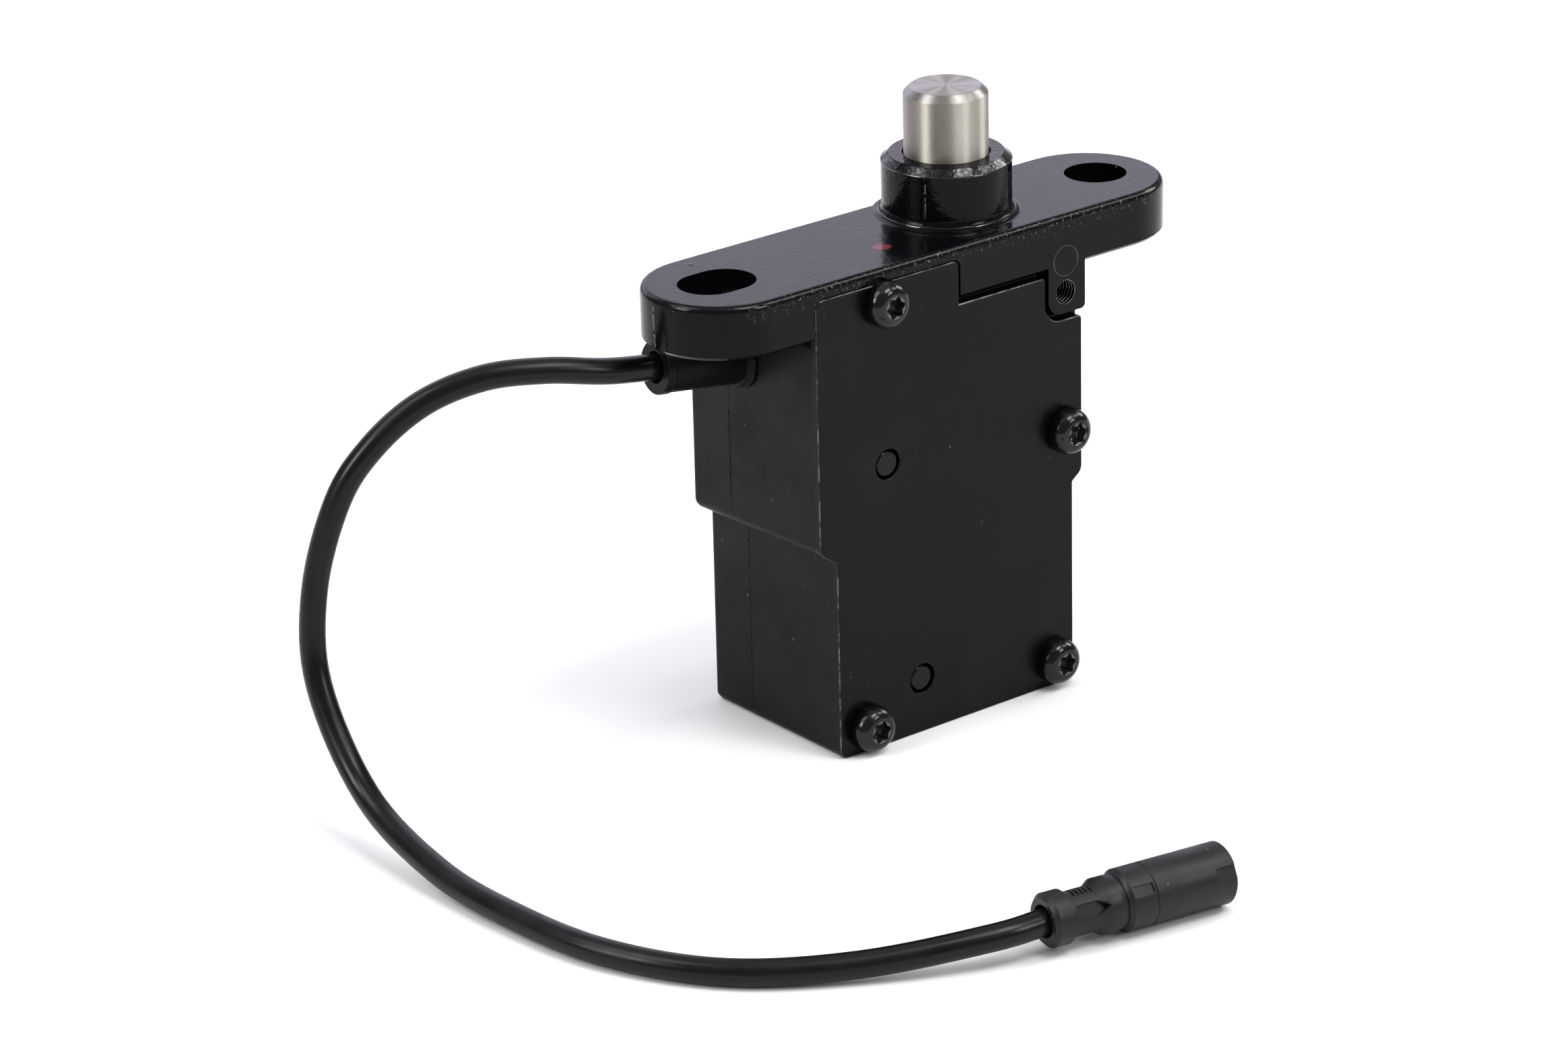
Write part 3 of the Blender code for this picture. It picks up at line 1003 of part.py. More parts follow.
def build_connector(lock, boot_material, sleeve_material, insert_material, gold):
    axis = make_empty("connector_axis", (*CONNECTOR_REAR, CONNECTOR_Z), lock, (0.0, 90.0, CONNECTOR_HEADING))
    entry = CORD_DIAMETER / 2 + CORD_ENTRY_GAP
    edge = 2 * SLEEVE_CHAMFER
    spigot_top = SLEEVE_START + SPIGOT_LENGTH
    boot = [(0.0, CORD_ENTRY_DEPTH), (entry, CORD_ENTRY_DEPTH), (entry, 0.0),
            (BOOT_COLLAR_RADIUS - edge, 0.0),
            (BOOT_COLLAR_RADIUS, edge), (BOOT_COLLAR_RADIUS, BOOT_COLLAR_LENGTH - SLEEVE_CHAMFER),
            (BOOT_NECK_RADIUS, BOOT_COLLAR_LENGTH), (BOOT_NECK_RADIUS, BOOT_FLARE_START),
            (BOOT_RING_RADIUS, BOOT_RING_START), (BOOT_RING_RADIUS, BOOT_GROOVE_START - SLEEVE_CHAMFER),
            (BOOT_GROOVE_RADIUS, BOOT_GROOVE_START), (BOOT_GROOVE_RADIUS, SLEEVE_START),
            (SPIGOT_RADIUS, SLEEVE_START), (SPIGOT_RADIUS, spigot_top), (0.0, spigot_top)]
    boot_piece = add_piece("connector_boot", turned("connector_boot", boot), boot_material, axis)
    arrow = [(-BOOT_ARROW_HALF, BOOT_ARROW_TAIL), (BOOT_ARROW_HALF, BOOT_ARROW_TAIL),
             (BOOT_ARROW_HALF, BOOT_ARROW_NECK), (0.0, BOOT_ARROW_TIP), (-BOOT_ARROW_HALF, BOOT_ARROW_NECK)]
    for opposite in (0.0, 180.0):
        side = "_far" if opposite else "_near"
        cut(boot_piece, "arrow" + side, radial_cutter(arrow, BOOT_POCKET_FLOOR, BOOT_TURN + opposite))
        for index in range(BOOT_SLITS):
            slit = centred(BOOT_SLIT_START + index * BOOT_SLIT_PITCH, BOOT_SLIT_WIDTH, 2 * BOOT_SLIT_HALF)
            cut(boot_piece, "slit_" + str(index) + side,
                radial_cutter(slit, BOOT_POCKET_FLOOR, BOOT_TURN + BOOT_SLIT_TURN + opposite))

    rear = SLEEVE_START + SEAM_GAP
    tip = CONNECTOR_LENGTH
    sleeve = add_piece("connector_sleeve", turned("connector_sleeve", [
        (SLEEVE_BORE, rear), (SLEEVE_RADIUS - edge, rear), (SLEEVE_RADIUS, rear + edge),
        (SLEEVE_RADIUS, SLEEVE_SEAM - SLEEVE_SEAM_DEPTH), (SLEEVE_RADIUS - SLEEVE_SEAM_DEPTH, SLEEVE_SEAM),
        (SLEEVE_RADIUS, SLEEVE_SEAM + SLEEVE_SEAM_DEPTH),
        (SLEEVE_RADIUS, tip - SLEEVE_CHAMFER), (SLEEVE_RADIUS - SLEEVE_CHAMFER, tip), (SLEEVE_BORE, tip)],
        ROUND_FACETS, closed=True), sleeve_material, axis)
    key = centred(tip - KEY_SLOT_LENGTH / 2 + WALL / 2, KEY_SLOT_LENGTH + WALL, KEY_SLOT_WIDTH)
    cut(sleeve, "key_slot", radial_cutter(key, SLEEVE_RADIUS - KEY_SLOT_DEPTH, BOOT_TURN))
    mark = centred(SLEEVE_MARK_PLACE, SLEEVE_MARK_LENGTH, SLEEVE_MARK_WIDTH)
    cut(sleeve, "mark", radial_cutter(mark, SLEEVE_RADIUS - SLEEVE_MARK_DEPTH, SLEEVE_MARK_TURN))

    floor = spigot_top + SEAM_GAP
    core = SLEEVE_BORE - INSERT_GAP
    insert_top = floor + INSERT_LENGTH
    add_piece("connector_insert", turned("connector_insert", [
        (0.0, floor), (core, floor), (core, insert_top - SLEEVE_CHAMFER), (core - SLEEVE_CHAMFER, insert_top),
        (0.0, insert_top)], MEDIUM_FACETS), insert_material, axis)
    contact_low = insert_top + SEAM_GAP
    for index in range(CONTACTS):
        angle = 2 * math.pi * index / CONTACTS
        x, y = CONTACT_CIRCLE * math.cos(angle), CONTACT_CIRCLE * math.sin(angle)
        contact_high = contact_low + CONTACT_LENGTH
        profile = [(0.0, contact_low), (CONTACT_RADIUS, contact_low), (CONTACT_RADIUS, contact_high),
                   (CONTACT_RADIUS / 2, contact_high + CONTACT_RADIUS), (0.0, contact_high + CONTACT_RADIUS)]
        name = "contact_pin_" + str(index + 1)
        add_piece(name, turned(name, profile, TINY_FACETS), gold, axis, (x, y, 0.0))


def build_leads(lock, jacket, red, black):
    tube("cable", smooth_route(CORD_ROUTE, CORD_STEP), CORD_DIAMETER, jacket, lock)
    tube("inner_lead", smooth_route(CORE_ROUTE, CORE_DIAMETER), CORE_DIAMETER, jacket, lock)
    for name, material in (("motor_wire_red", red), ("motor_wire_black", black)):
        route = smooth_route(MOTOR_WIRE_ROUTES[name], 2 * MOTOR_WIRE_DIAMETER)
        tube(name, route, MOTOR_WIRE_DIAMETER, material, lock)


def build_lock():
    clear_scene()
    lock = make_empty("bolt_axis", (BOX_OFFSET_X, BOX_OFFSET_Y, 0.0))
    slide = make_empty("bolt_slide", (0.0, 0.0, 0.0), lock)
    drive = make_empty("drive_axis", (0.0, 0.0, 0.0), lock)

    cast_black = make_material("cast_black", (0.012, 0.012, 0.013), 0.22, 0.0)
    cover_black = make_material("cover_black", (0.014, 0.014, 0.015), 0.32, 0.0)
    housing_black = make_material("housing_black", (0.018, 0.017, 0.017), 0.5, 0.0)
    screw_black = make_material("screw_black", (0.02, 0.02, 0.02), 0.28, 0.8)
    bolt_steel = make_material("bolt_steel", (0.62, 0.60, 0.56), 0.3, 1.0)
    plain_steel = make_material("plain_steel", (0.55, 0.55, 0.56), 0.35, 1.0)
    brass = make_material("brass", (0.70, 0.52, 0.22), 0.35, 1.0)
    bronze = make_material("bronze", (0.55, 0.36, 0.18), 0.5, 1.0)
    gold = make_material("contact_gold", (0.83, 0.62, 0.25), 0.25, 1.0)
    rubber = make_material("black_rubber", (0.014, 0.014, 0.014), 0.55, 0.0)
    jacket = make_material("cable_jacket", (0.012, 0.012, 0.012), 0.38, 0.0)
    moulded = make_material("connector_black", (0.02, 0.02, 0.02), 0.6, 0.0)
    slider_grey = make_material("slider_zinc", (0.45, 0.45, 0.46), 0.45, 1.0)
    white = make_material("white_plastic", (0.75, 0.74, 0.70), 0.5, 0.0)
    dark = make_material("dark_plastic", (0.03, 0.03, 0.035), 0.5, 0.0)
    green = make_material("board_green", (0.02, 0.16, 0.06), 0.45, 0.0)
    red = make_material("red_wire", (0.45, 0.02, 0.02), 0.45, 0.0)

    build_flange(lock, cast_black)
    build_bolt_guide(lock, bronze, rubber)
    build_housing(lock, housing_black)
    build_cover(lock, cover_black, rubber)
    build_cover_screws(lock, screw_black)
    build_posts(lock, screw_black)
    build_flange_screws(lock, plain_steel)
    build_bolt(slide, bolt_steel)
    build_slider(slide, slider_grey)
    build_spring(slide, plain_steel)
    build_drive(drive, brass, plain_steel)
    build_motor(lock, plain_steel, brass, white)
    build_motor_clip(lock, dark)
    build_board(lock, green, dark, white, plain_steel)
    build_switch(lock, dark, white)
    build_gland(lock, rubber)
    build_connector(lock, moulded, moulded, dark, gold)
    build_leads(lock, jacket, red, dark)


build_lock()
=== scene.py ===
"""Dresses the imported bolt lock: finishes, a smooth lead, mould details, a pale floor and soft light."""

import json
import math
import random

import bmesh
import bpy
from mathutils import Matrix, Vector


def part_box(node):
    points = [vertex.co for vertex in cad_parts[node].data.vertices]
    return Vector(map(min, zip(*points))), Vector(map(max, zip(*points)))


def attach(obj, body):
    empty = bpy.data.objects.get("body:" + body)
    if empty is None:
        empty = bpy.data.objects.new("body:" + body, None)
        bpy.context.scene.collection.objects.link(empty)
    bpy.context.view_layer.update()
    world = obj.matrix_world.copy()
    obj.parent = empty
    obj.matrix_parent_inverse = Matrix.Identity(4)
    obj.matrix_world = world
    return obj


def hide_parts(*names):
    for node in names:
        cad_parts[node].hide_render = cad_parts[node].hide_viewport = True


MM = 0.001

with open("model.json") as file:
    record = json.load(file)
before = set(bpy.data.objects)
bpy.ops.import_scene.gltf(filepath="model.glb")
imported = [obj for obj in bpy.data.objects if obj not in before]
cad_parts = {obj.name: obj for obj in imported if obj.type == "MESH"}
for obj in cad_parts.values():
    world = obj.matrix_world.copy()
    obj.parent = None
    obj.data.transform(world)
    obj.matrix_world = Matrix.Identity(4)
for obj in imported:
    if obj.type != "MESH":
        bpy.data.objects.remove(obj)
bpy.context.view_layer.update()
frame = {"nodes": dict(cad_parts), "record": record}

# Places in the part's frame, in millimetres
FLANGE_LOW, FLANGE_HIGH = [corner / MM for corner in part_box("mounting_flange")]
BOLT_LOW, BOLT_HIGH = [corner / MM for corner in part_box("lock_bolt")]
BOLT_AXIS = Vector(((BOLT_LOW.x + BOLT_HIGH.x) / 2, (BOLT_LOW.y + BOLT_HIGH.y) / 2, 0.0))
FRONT_FACE = FLANGE_LOW.y
COVER_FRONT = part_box("front_cover")[0].y / MM
COLLAR_RADIUS = 7.7
COLLAR_HEIGHT = 7.3
COLLAR_CHAMFER = 0.9
COLLAR_TOP = FLANGE_HIGH.z
CHAMFER_FOOT = COLLAR_TOP - COLLAR_CHAMFER
FLANGE_THICKNESS = 6.4
FLANGE_TOP = COLLAR_TOP - COLLAR_HEIGHT
FLANGE_BOTTOM = FLANGE_TOP - FLANGE_THICKNESS

# Left walls of the housing, from the bolt's axis, as in the part's source
UPPER_LEFT = 28.6
LOWER_LEFT = 26.15

# Directions
LEFT = Vector((-1.0, 0.0, 0.0))
BACKWARDS = Vector((0.0, 1.0, 0.0))
UP = Vector((0.0, 0.0, 1.0))

# Camera solved on the photograph's edges: its place in millimetres and its turn in degrees
PHOTO_WIDTH = 2324
FOCAL_PIXELS = 8073.0
SENSOR_WIDTH = 36.0
CAMERA_PLACE = Vector((-383.65, -461.615, 265.72))
CAMERA_TURN = (67.821, 1.267, -38.889)

# Lead: the same places as in the part's source, from the bolt's axis, and the parts between two places
CORD_DIAMETER = 3.1
CORD_ROUTE = [
    (-38.9, 4.8, 48.1), (-46.2, 5.6, 49.1), (-53.0, 7.8, 50.3), (-59.7, 10.9, 50.2), (-66.1, 13.9, 47.9),
    (-71.6, 16.2, 43.4), (-75.5, 18.0, 37.3), (-78.5, 19.2, 26.8), (-79.8, 17.4, 16.1), (-80.5, 7.7, 5.8),
    (-81.7, -7.2, 2.3), (-81.4, -20.9, 1.65), (-79.1, -35.0, 1.6), (-72.2, -47.3, 1.6), (-60.8, -56.0, 2.0),
    (-47.8, -62.5, 3.3), (-40.7, -63.8, 3.6),
]
CORD_PARTS = 8

# Gland: its place and lean as in the part's source, its mould's seam and its rolled rim
GLAND_ROOT = Vector((-UPPER_LEFT, 3.7, 46.9))
GLAND_RADIUS = 3.1
GLAND_TILT = math.radians(6.5)
GLAND_YAW = math.radians(6.0)
GLAND_ALONG = Vector((-math.cos(GLAND_TILT) * math.cos(GLAND_YAW),
                      math.cos(GLAND_TILT) * math.sin(GLAND_YAW),
                      math.sin(GLAND_TILT)))
GLAND_SEAM_SIDE = Vector((-0.575, -0.726, 0.377))
GLAND_SEAM_START = 1.6
GLAND_SEAM_END = 10.0
GLAND_RIM_PLACE = 10.3
GLAND_RIM_WIRE = 0.12

# Flash along parting lines: least and most length of its ridges and gaps, and shares of their full size
FLASH_LENGTHS = (0.5, 2.4)
FLASH_GAPS = (0.05, 0.5)
FLASH_WIDTH_SHARES = (0.4, 1.0)
FLASH_HEIGHT_SHARES = (0.3, 1.0)
RIDGE_SUNK = 0.05

# Flash on the flange's left end and on its collar, and how far it keeps from the edges
END_FLASH = {"seed": 4, "most_width": 0.6, "most_height": 0.2}
END_FLASH_FOOT = 0.5
END_FLASH_HEAD = 0.9
COLLAR_FLASH = {"seed": 6, "most_width": 0.5, "most_height": 0.18}
COLLAR_FLASH_FOOT = 1.3
COLLAR_FLASH_HEAD = 1.0
COLLAR_FLASH_ANGLE = 210.0

# Seams of the housing's mould on its left walls: the wall, its low and high ends and a seed
HOUSING_SEAMS = ((UPPER_LEFT, 27.3, 43.2, 3), (LOWER_LEFT, 1.2, 24.4, 8))
HOUSING_SEAM_DEPTH = 5.9

# Beads where paint has drawn up on the collar
COLLAR_BEAD = 0.11
COLLAR_BEAD_RISE = 0.38
CHAMFER_BEAD = 0.09
COLLAR_FACETS = 72

# Details of the ear and the flange, from the bolt's axis
EAR_HOLE_X = 8.9
EAR_HOLE = Vector((EAR_HOLE_X, 0.0, 49.7))
EAR_HOLE_RADIUS = 1.5
THREADS = 7
THREAD_PITCH = 0.5
THREAD_CREST = 0.055
EJECTOR_MARK = Vector((EAR_HOLE_X, 0.0, 53.6))
EJECTOR_RADIUS = 1.85
EJECTOR_WIRE = 0.06
PAINT_DROP = Vector((-34.1, 5.1, 0.0))
PAINT_DROP_RADIUS = 0.35
PAINT_DROP_SQUASH = 0.4
RED_DAB = Vector((-14.06, -5.03, 0.0))

# Screws with worn sockets, and how far the wear reaches from their axes before it fades out
COVER_SCREWS = ("cover_screw_top", "cover_screw_right", "cover_screw_lower_right", "cover_screw_lower_left")
SOCKET_REACH = 1.45
SOCKET_FADE = 0.15

# Specular level of the black coats
COAT_SHEEN = 0.115

# Half the floor's width, in metres
FLOOR_REACH = 4.0


# Scene helpers

def add_object(name, data, body=None):
    piece = bpy.data.objects.new(name, data)
    bpy.context.scene.collection.objects.link(piece)
    if body is not None:
        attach(piece, body)
    return piece


class Finish:
    """A Principled material built up from noise in the part's own coordinates, in metres."""

    def __init__(self, name, colour, roughness, metallic=0.0, specular=0.5):
        self.material = bpy.data.materials.new(name)
        self.material.use_nodes = True
        self.tree = self.material.node_tree
        self.shader = self.tree.nodes["Principled BSDF"]
        self.shader.inputs["Base Color"].default_value = (*colour, 1.0)
        self.shader.inputs["Roughness"].default_value = roughness
        self.shader.inputs["Metallic"].default_value = metallic
        self.shader.inputs["Specular IOR Level"].default_value = specular
        self.coordinates = self.tree.nodes.new("ShaderNodeTexCoord").outputs["Object"]
        self.normal = None

    def link(self, source, socket):
        self.tree.links.new(source, socket)

    def feed(self, source, name):
        """Drive one of the shader's sockets."""
        self.link(source, self.shader.inputs[name])

    def stretched(self, scale, shift=(0.0, 0.0, 0.0)):
        mapping = self.tree.nodes.new("ShaderNodeMapping")
        mapping.inputs["Scale"].default_value = scale
        mapping.inputs["Location"].default_value = shift
        self.link(self.coordinates, mapping.inputs["Vector"])
        return mapping.outputs["Vector"]

    def noise(self, scale, detail=3.0, roughness=0.5, coordinates=None):
        """Soft noise, with its scale in waves to a metre."""
        texture = self.tree.nodes.new("ShaderNodeTexNoise")
        texture.inputs["Scale"].default_value = scale
        texture.inputs["Detail"].default_value = detail
        texture.inputs["Roughness"].default_value = roughness
        self.link(coordinates or self.coordinates, texture.inputs["Vector"])
        return texture.outputs["Fac"]

    def spread(self, value, low, high, to_low=0.0, to_high=1.0):
        """A smooth step from one value to another between two limits."""
        node = self.tree.nodes.new("ShaderNodeMapRange")
        node.interpolation_type = "SMOOTHSTEP"
        limits = {"From Min": low, "From Max": high, "To Min": to_low, "To Max": to_high}
        for name, number in limits.items():
            node.inputs[name].default_value = number
        self.link(value, node.inputs["Value"])
        return node.outputs["Result"]

    def along(self, axis, start, end, to_start=0.0, to_end=1.0):
        """A smooth step between two places along an axis, in millimetres."""
        node = self.tree.nodes.new("ShaderNodeSeparateXYZ")
        self.link(self.coordinates, node.inputs["Vector"])
        return self.spread(node.outputs[axis], start * MM, end * MM, to_start, to_end)

    def distance(self, centre, axes):
        """Distance from a place in millimetres, along those axes that are 1 and not 0."""
        scale = [axis / MM for axis in axes]
        shift = [-axis * place for axis, place in zip(axes, centre)]
        length = self.tree.nodes.new("ShaderNodeVectorMath")
        length.operation = "LENGTH"
        self.link(self.stretched(scale, shift), length.inputs[0])
        return length.outputs["Value"]

    def combine(self, operation, first, second):
        node = self.tree.nodes.new("ShaderNodeMath")
        node.operation = operation
        for socket, value in zip(node.inputs, (first, second)):
            if isinstance(value, (int, float)):
                socket.default_value = value
            else:
                self.link(value, socket)
        return node.outputs["Value"]

    def product(self, first, *others):
        for other in others:
            first = self.combine("MULTIPLY", first, other)
        return first

    def paint(self, mask, colour):
        """Lay a colour over what is there, where the mask is white."""
        node = self.tree.nodes.new("ShaderNodeMix")
        node.data_type = "RGBA"
        base = self.shader.inputs["Base Color"]
        if base.is_linked:
            self.link(base.links[0].from_socket, node.inputs["A"])
        else:
            node.inputs["A"].default_value = base.default_value
        node.inputs["B"].default_value = (*colour, 1.0)
        self.link(mask, node.inputs["Factor"])
        self.link(node.outputs["Result"], base)

    def bump(self, height, depth, strength=1.0):
        """Lay relief over what is there, with its depth in millimetres."""
        node = self.tree.nodes.new("ShaderNodeBump")
        node.inputs["Strength"].default_value = strength
        node.inputs["Distance"].default_value = depth * MM
        self.link(height, node.inputs["Height"])
        if self.normal is not None:
            self.link(self.normal, node.inputs["Normal"])
        self.normal = node.outputs["Normal"]
        self.feed(self.normal, "Normal")

    def dust(self):
        """A few pale specks."""
        self.paint(self.spread(self.noise(1300.0, 1.0), 0.79, 0.84, 0.0, 0.6), (0.16, 0.16, 0.15))


# Finishes

def cast_paint():
    """Gloss black coat on a casting: orange peel, sparkle on a chamfer, chips and a dab of red."""
    finish = Finish("gloss_black_coat", (0.0018, 0.0018, 0.0025), 0.2)

    on_chamfer = finish.along("Z", CHAMFER_FOOT - 0.2, CHAMFER_FOOT + 0.1)
    below_mouth = finish.along("Z", COLLAR_TOP - 0.05, COLLAR_TOP - 0.15)
    grains = finish.spread(finish.noise(2400.0, 2.0), 0.45, 0.68, 0.08, 0.5)
    sparkle = finish.product(on_chamfer, below_mouth, grains)
    above_wall = finish.along("Z", FLANGE_TOP - 0.75, FLANGE_TOP - 0.5)
    below_top = finish.along("Z", FLANGE_TOP - 0.05, FLANGE_TOP - 0.2, 0.0, 0.08)
    glossy = finish.combine("MAXIMUM", sparkle, finish.product(above_wall, below_top))
    finish.feed(finish.combine("ADD", glossy, COAT_SHEEN), "Specular IOR Level")

    finish.bump(finish.noise(420.0, 2.0), 0.06, 0.3)
    on_collar = finish.along("Z", FLANGE_TOP + 0.2, FLANGE_TOP + 1.5, 0.4, 1.0)
    finish.bump(finish.product(finish.noise(1500.0, 2.0, 0.6), on_collar), 0.07, 0.8)
    finish.feed(finish.spread(finish.noise(260.0, 4.0), 0.35, 0.7, 0.09, 0.2), "Roughness")

    near_front = finish.along("Y", FRONT_FACE + 0.75, FRONT_FACE + 0.25)
    near_top = finish.along("Z", FLANGE_TOP - 2.6, FLANGE_TOP - 0.5)
    chips = finish.spread(finish.noise(2300.0, 5.0, 0.75), 0.56, 0.68)
    finish.paint(finish.product(near_front, near_top, chips), (0.2, 0.2, 0.185))

    from_dab = finish.distance(BOLT_AXIS + RED_DAB, (1.0, 1.0, 0.0))
    ragged = finish.combine("ADD", from_dab, finish.noise(1400.0, 3.0, 0.7))
    on_top = finish.along("Z", FLANGE_TOP - 0.3, FLANGE_TOP - 0.1)
    below_collar = finish.along("Z", FLANGE_TOP + 0.5, FLANGE_TOP + 0.2)
    dab = finish.product(finish.spread(ragged, 1.75, 1.25), on_top, below_collar)
    finish.paint(dab, (0.115, 0.02, 0.024))
    finish.dust()
    return finish.material


def gloss_beads():
    """The same coat where it has drawn up thick and glossy on ridges and beads."""
    finish = Finish("gloss_black_beads", (0.004, 0.004, 0.005), 0.16, specular=0.9)
    finish.bump(finish.noise(1500.0, 2.0, 0.6), 0.03, 0.6)
    finish.feed(finish.spread(finish.noise(900.0, 3.0), 0.35, 0.7, 0.08, 0.3), "Roughness")
    return finish.material


def cover_coat():
    """Half-gloss black sheet: cloudy, with a faint grain, a rim painted lighter as wear and as a painted
    highlight, and a little dust.
    """
    finish = Finish("half_gloss_black_sheet", (0.0014, 0.0014, 0.0017), 0.28)
    grain = finish.noise(300.0, 4.0, 0.6, finish.stretched((1.0, 1.0, 9.0)))
    finish.bump(grain, 0.012, 0.15)
    finish.bump(finish.noise(5200.0, 2.0), 0.004, 0.3)
    finish.feed(finish.spread(finish.noise(70.0, 5.0, 0.6), 0.35, 0.7, 0.24, 0.36), "Roughness")
    clouds = finish.spread(finish.noise(55.0, 5.0, 0.65), 0.45, 0.75, 0.0, 0.8)
    finish.paint(clouds, (0.0048, 0.0044, 0.0037))

    # The rim is painted lighter: partly wear, partly a painted highlight on the edges.
    past_face = finish.along("Y", COVER_FRONT + 0.02, COVER_FRONT + 0.08)
    on_rim = finish.along("Y", COVER_FRONT + 0.24, COVER_FRONT + 0.16)
    worn = finish.spread(finish.noise(600.0, 3.0, 0.6), 0.4, 0.62, 0.2, 1.0)
    rim_wear_and_highlight = finish.product(past_face, on_rim, worn)
    finish.paint(rim_wear_and_highlight, (0.06, 0.06, 0.058))
    finish.feed(finish.spread(rim_wear_and_highlight, 0.0, 1.0, COAT_SHEEN, 0.7), "Specular IOR Level")
    finish.dust()
    return finish.material


def moulded_black(name, colour, roughness, grain, depth, specular):
    """Black moulding with a fine grain and a slightly uneven sheen."""
    finish = Finish(name, colour, roughness, specular=specular)
    finish.bump(finish.noise(grain, 3.0, 0.6), depth, 0.4)
    sheen = finish.spread(finish.noise(180.0, 4.0), 0.3, 0.7, roughness - 0.07, roughness + 0.08)
    finish.feed(sheen, "Roughness")
    patches = finish.spread(finish.noise(140.0, 5.0, 0.6), 0.5, 0.75, 0.0, 0.7)
    finish.paint(patches, tuple(1.5 * channel for channel in colour))
    finish.dust()
    return finish.material


def turned_steel():
    """Stainless bar: rings from the lathe on its end, fine lines round its side that draw out its sheen,
    and an end coloured darker than the side as painted shade.
    """
    # The end face's colour is darker than the side's: painted shade on the end.
    finish = Finish("turned_stainless", (0.31, 0.297, 0.28), 0.42, metallic=1.0)
    on_side = finish.along("Z", BOLT_HIGH.z - 0.6, BOLT_HIGH.z - 1.0)
    finish.feed(finish.spread(on_side, 0.0, 1.0, 0.9, 1.0), "Anisotropic")
    finish.shader.inputs["Anisotropic Rotation"].default_value = 0.25
    around = finish.tree.nodes.new("ShaderNodeTangent")
    around.direction_type = "RADIAL"
    around.axis = "Z"
    finish.feed(around.outputs["Tangent"], "Tangent")

    lines = finish.noise(900.0, 3.0, 0.6, finish.stretched((0.12, 0.12, 6.0)))
    finish.bump(lines, 0.006, 0.2)
    rings = finish.tree.nodes.new("ShaderNodeTexWave")
    rings.wave_type = "RINGS"
    rings.rings_direction = "Z"
    rings.inputs["Scale"].default_value = 900.0
    rings.inputs["Distortion"].default_value = 1.5
    finish.link(finish.stretched((1.0, 1.0, 1.0), -BOLT_AXIS * MM), rings.inputs["Vector"])
    finish.bump(rings.outputs["Fac"], 0.004, 0.3)

    grain = finish.spread(finish.noise(2600.0, 3.0), 0.3, 0.7, 0.39, 0.45)
    finish.feed(finish.combine("ADD", grain, finish.product(on_side, 0.09)), "Roughness")
    # The side is coloured lighter than the end face, whose darker colour is painted shade.
    finish.paint(on_side, (0.44, 0.417, 0.372))
    blotch = finish.spread(finish.noise(420.0, 4.0), 0.45, 0.75, 0.0, 0.5)
    finish.paint(blotch, (0.37, 0.35, 0.313))
    return finish.material


def plain_metal(name, colour, roughness):
    """Bare or plated metal with a faint grain."""
    finish = Finish(name, colour, roughness, metallic=1.0)
    finish.bump(finish.noise(1500.0, 3.0), 0.01, 0.25)
    sheen = finish.spread(finish.noise(420.0, 3.0), 0.3, 0.7, roughness - 0.06, roughness + 0.08)
    finish.feed(sheen, "Roughness")
    return finish.material


def oxide_heads():
    """Black screw heads with worn sockets, and posts behind the cover painted darker as shade."""
    finish = Finish("black_oxide", (0.026, 0.026, 0.027), 0.16, metallic=0.9)
    finish.bump(finish.noise(1500.0, 3.0), 0.01, 0.25)
    finish.feed(finish.spread(finish.noise(420.0, 3.0), 0.3, 0.7, 0.1, 0.22), "Roughness")
    for node in COVER_SCREWS:
        low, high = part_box(node)
        from_axis = finish.distance((low + high) / 2 / MM, (1.0, 0.0, 1.0))
        finish.paint(finish.spread(from_axis, SOCKET_REACH, SOCKET_REACH - SOCKET_FADE), (0.1, 0.1, 0.1))
    # Everything behind the cover's front face, such as the posts in their windows, is painted darker:
    # painted shade in the recesses.
    finish.paint(finish.along("Y", COVER_FRONT, COVER_FRONT + 0.05), (0.014, 0.014, 0.0145))
    return finish.material


def plain_moulding(name, colour, roughness):
    """Plain plastic, a little worn."""
    finish = Finish(name, colour, roughness)
    finish.bump(finish.noise(2400.0, 3.0), 0.008, 0.3)
    worn = finish.spread(finish.noise(300.0, 4.0), 0.5, 0.8, 0.0, 0.5)
    finish.paint(worn, tuple(0.8 * channel for channel in colour))
    return finish.material


FINISHES = {
    "cast_black": cast_paint(),
    "cover_black": cover_coat(),
    "housing_black": moulded_black("satin_black_moulding", (0.0058, 0.0053, 0.0051),
                                   roughness=0.42, grain=2600.0, depth=0.01, specular=0.095),
    "screw_black": oxide_heads(),
    "bolt_steel": turned_steel(),
    "plain_steel": plain_metal("plated_steel", (0.55, 0.55, 0.56), 0.35),
    "brass": plain_metal("machined_brass", (0.70, 0.52, 0.22), 0.35),
    "bronze": plain_metal("sintered_bronze", (0.45, 0.29, 0.14), 0.5),
    "contact_gold": plain_metal("contact_plating", (0.83, 0.62, 0.25), 0.25),
    "black_rubber": moulded_black("black_rubber_moulding", (0.0032, 0.0032, 0.0032),
                                  roughness=0.4, grain=1900.0, depth=0.01, specular=0.1),
    "cable_jacket": moulded_black("satin_jacket", (0.0035, 0.0035, 0.0035),
                                  roughness=0.29, grain=2200.0, depth=0.005, specular=0.21),
    "connector_black": moulded_black("grained_connector", (0.006, 0.006, 0.0063),
                                     roughness=0.45, grain=5200.0, depth=0.014, specular=0.29),
    "slider_zinc": plain_metal("plain_zinc", (0.45, 0.45, 0.46), 0.45),
    "white_plastic": plain_moulding("white_moulding", (0.75, 0.74, 0.70), 0.5),
    "dark_plastic": plain_moulding("dark_moulding", (0.03, 0.03, 0.035), 0.5),
    "board_green": plain_moulding("solder_mask", (0.02, 0.16, 0.06), 0.45),
    "red_wire": plain_moulding("red_insulation", (0.45, 0.02, 0.02), 0.45),
}


# Dressing of the CAD pieces

BODY_OF = {node: body for body, nodes in frame["record"]["behaviour"]["bodies"].items() for node in nodes}
SLOT_OF = {entry["node"]: entry["material_slot"] for entry in frame["record"]["subparts"]}

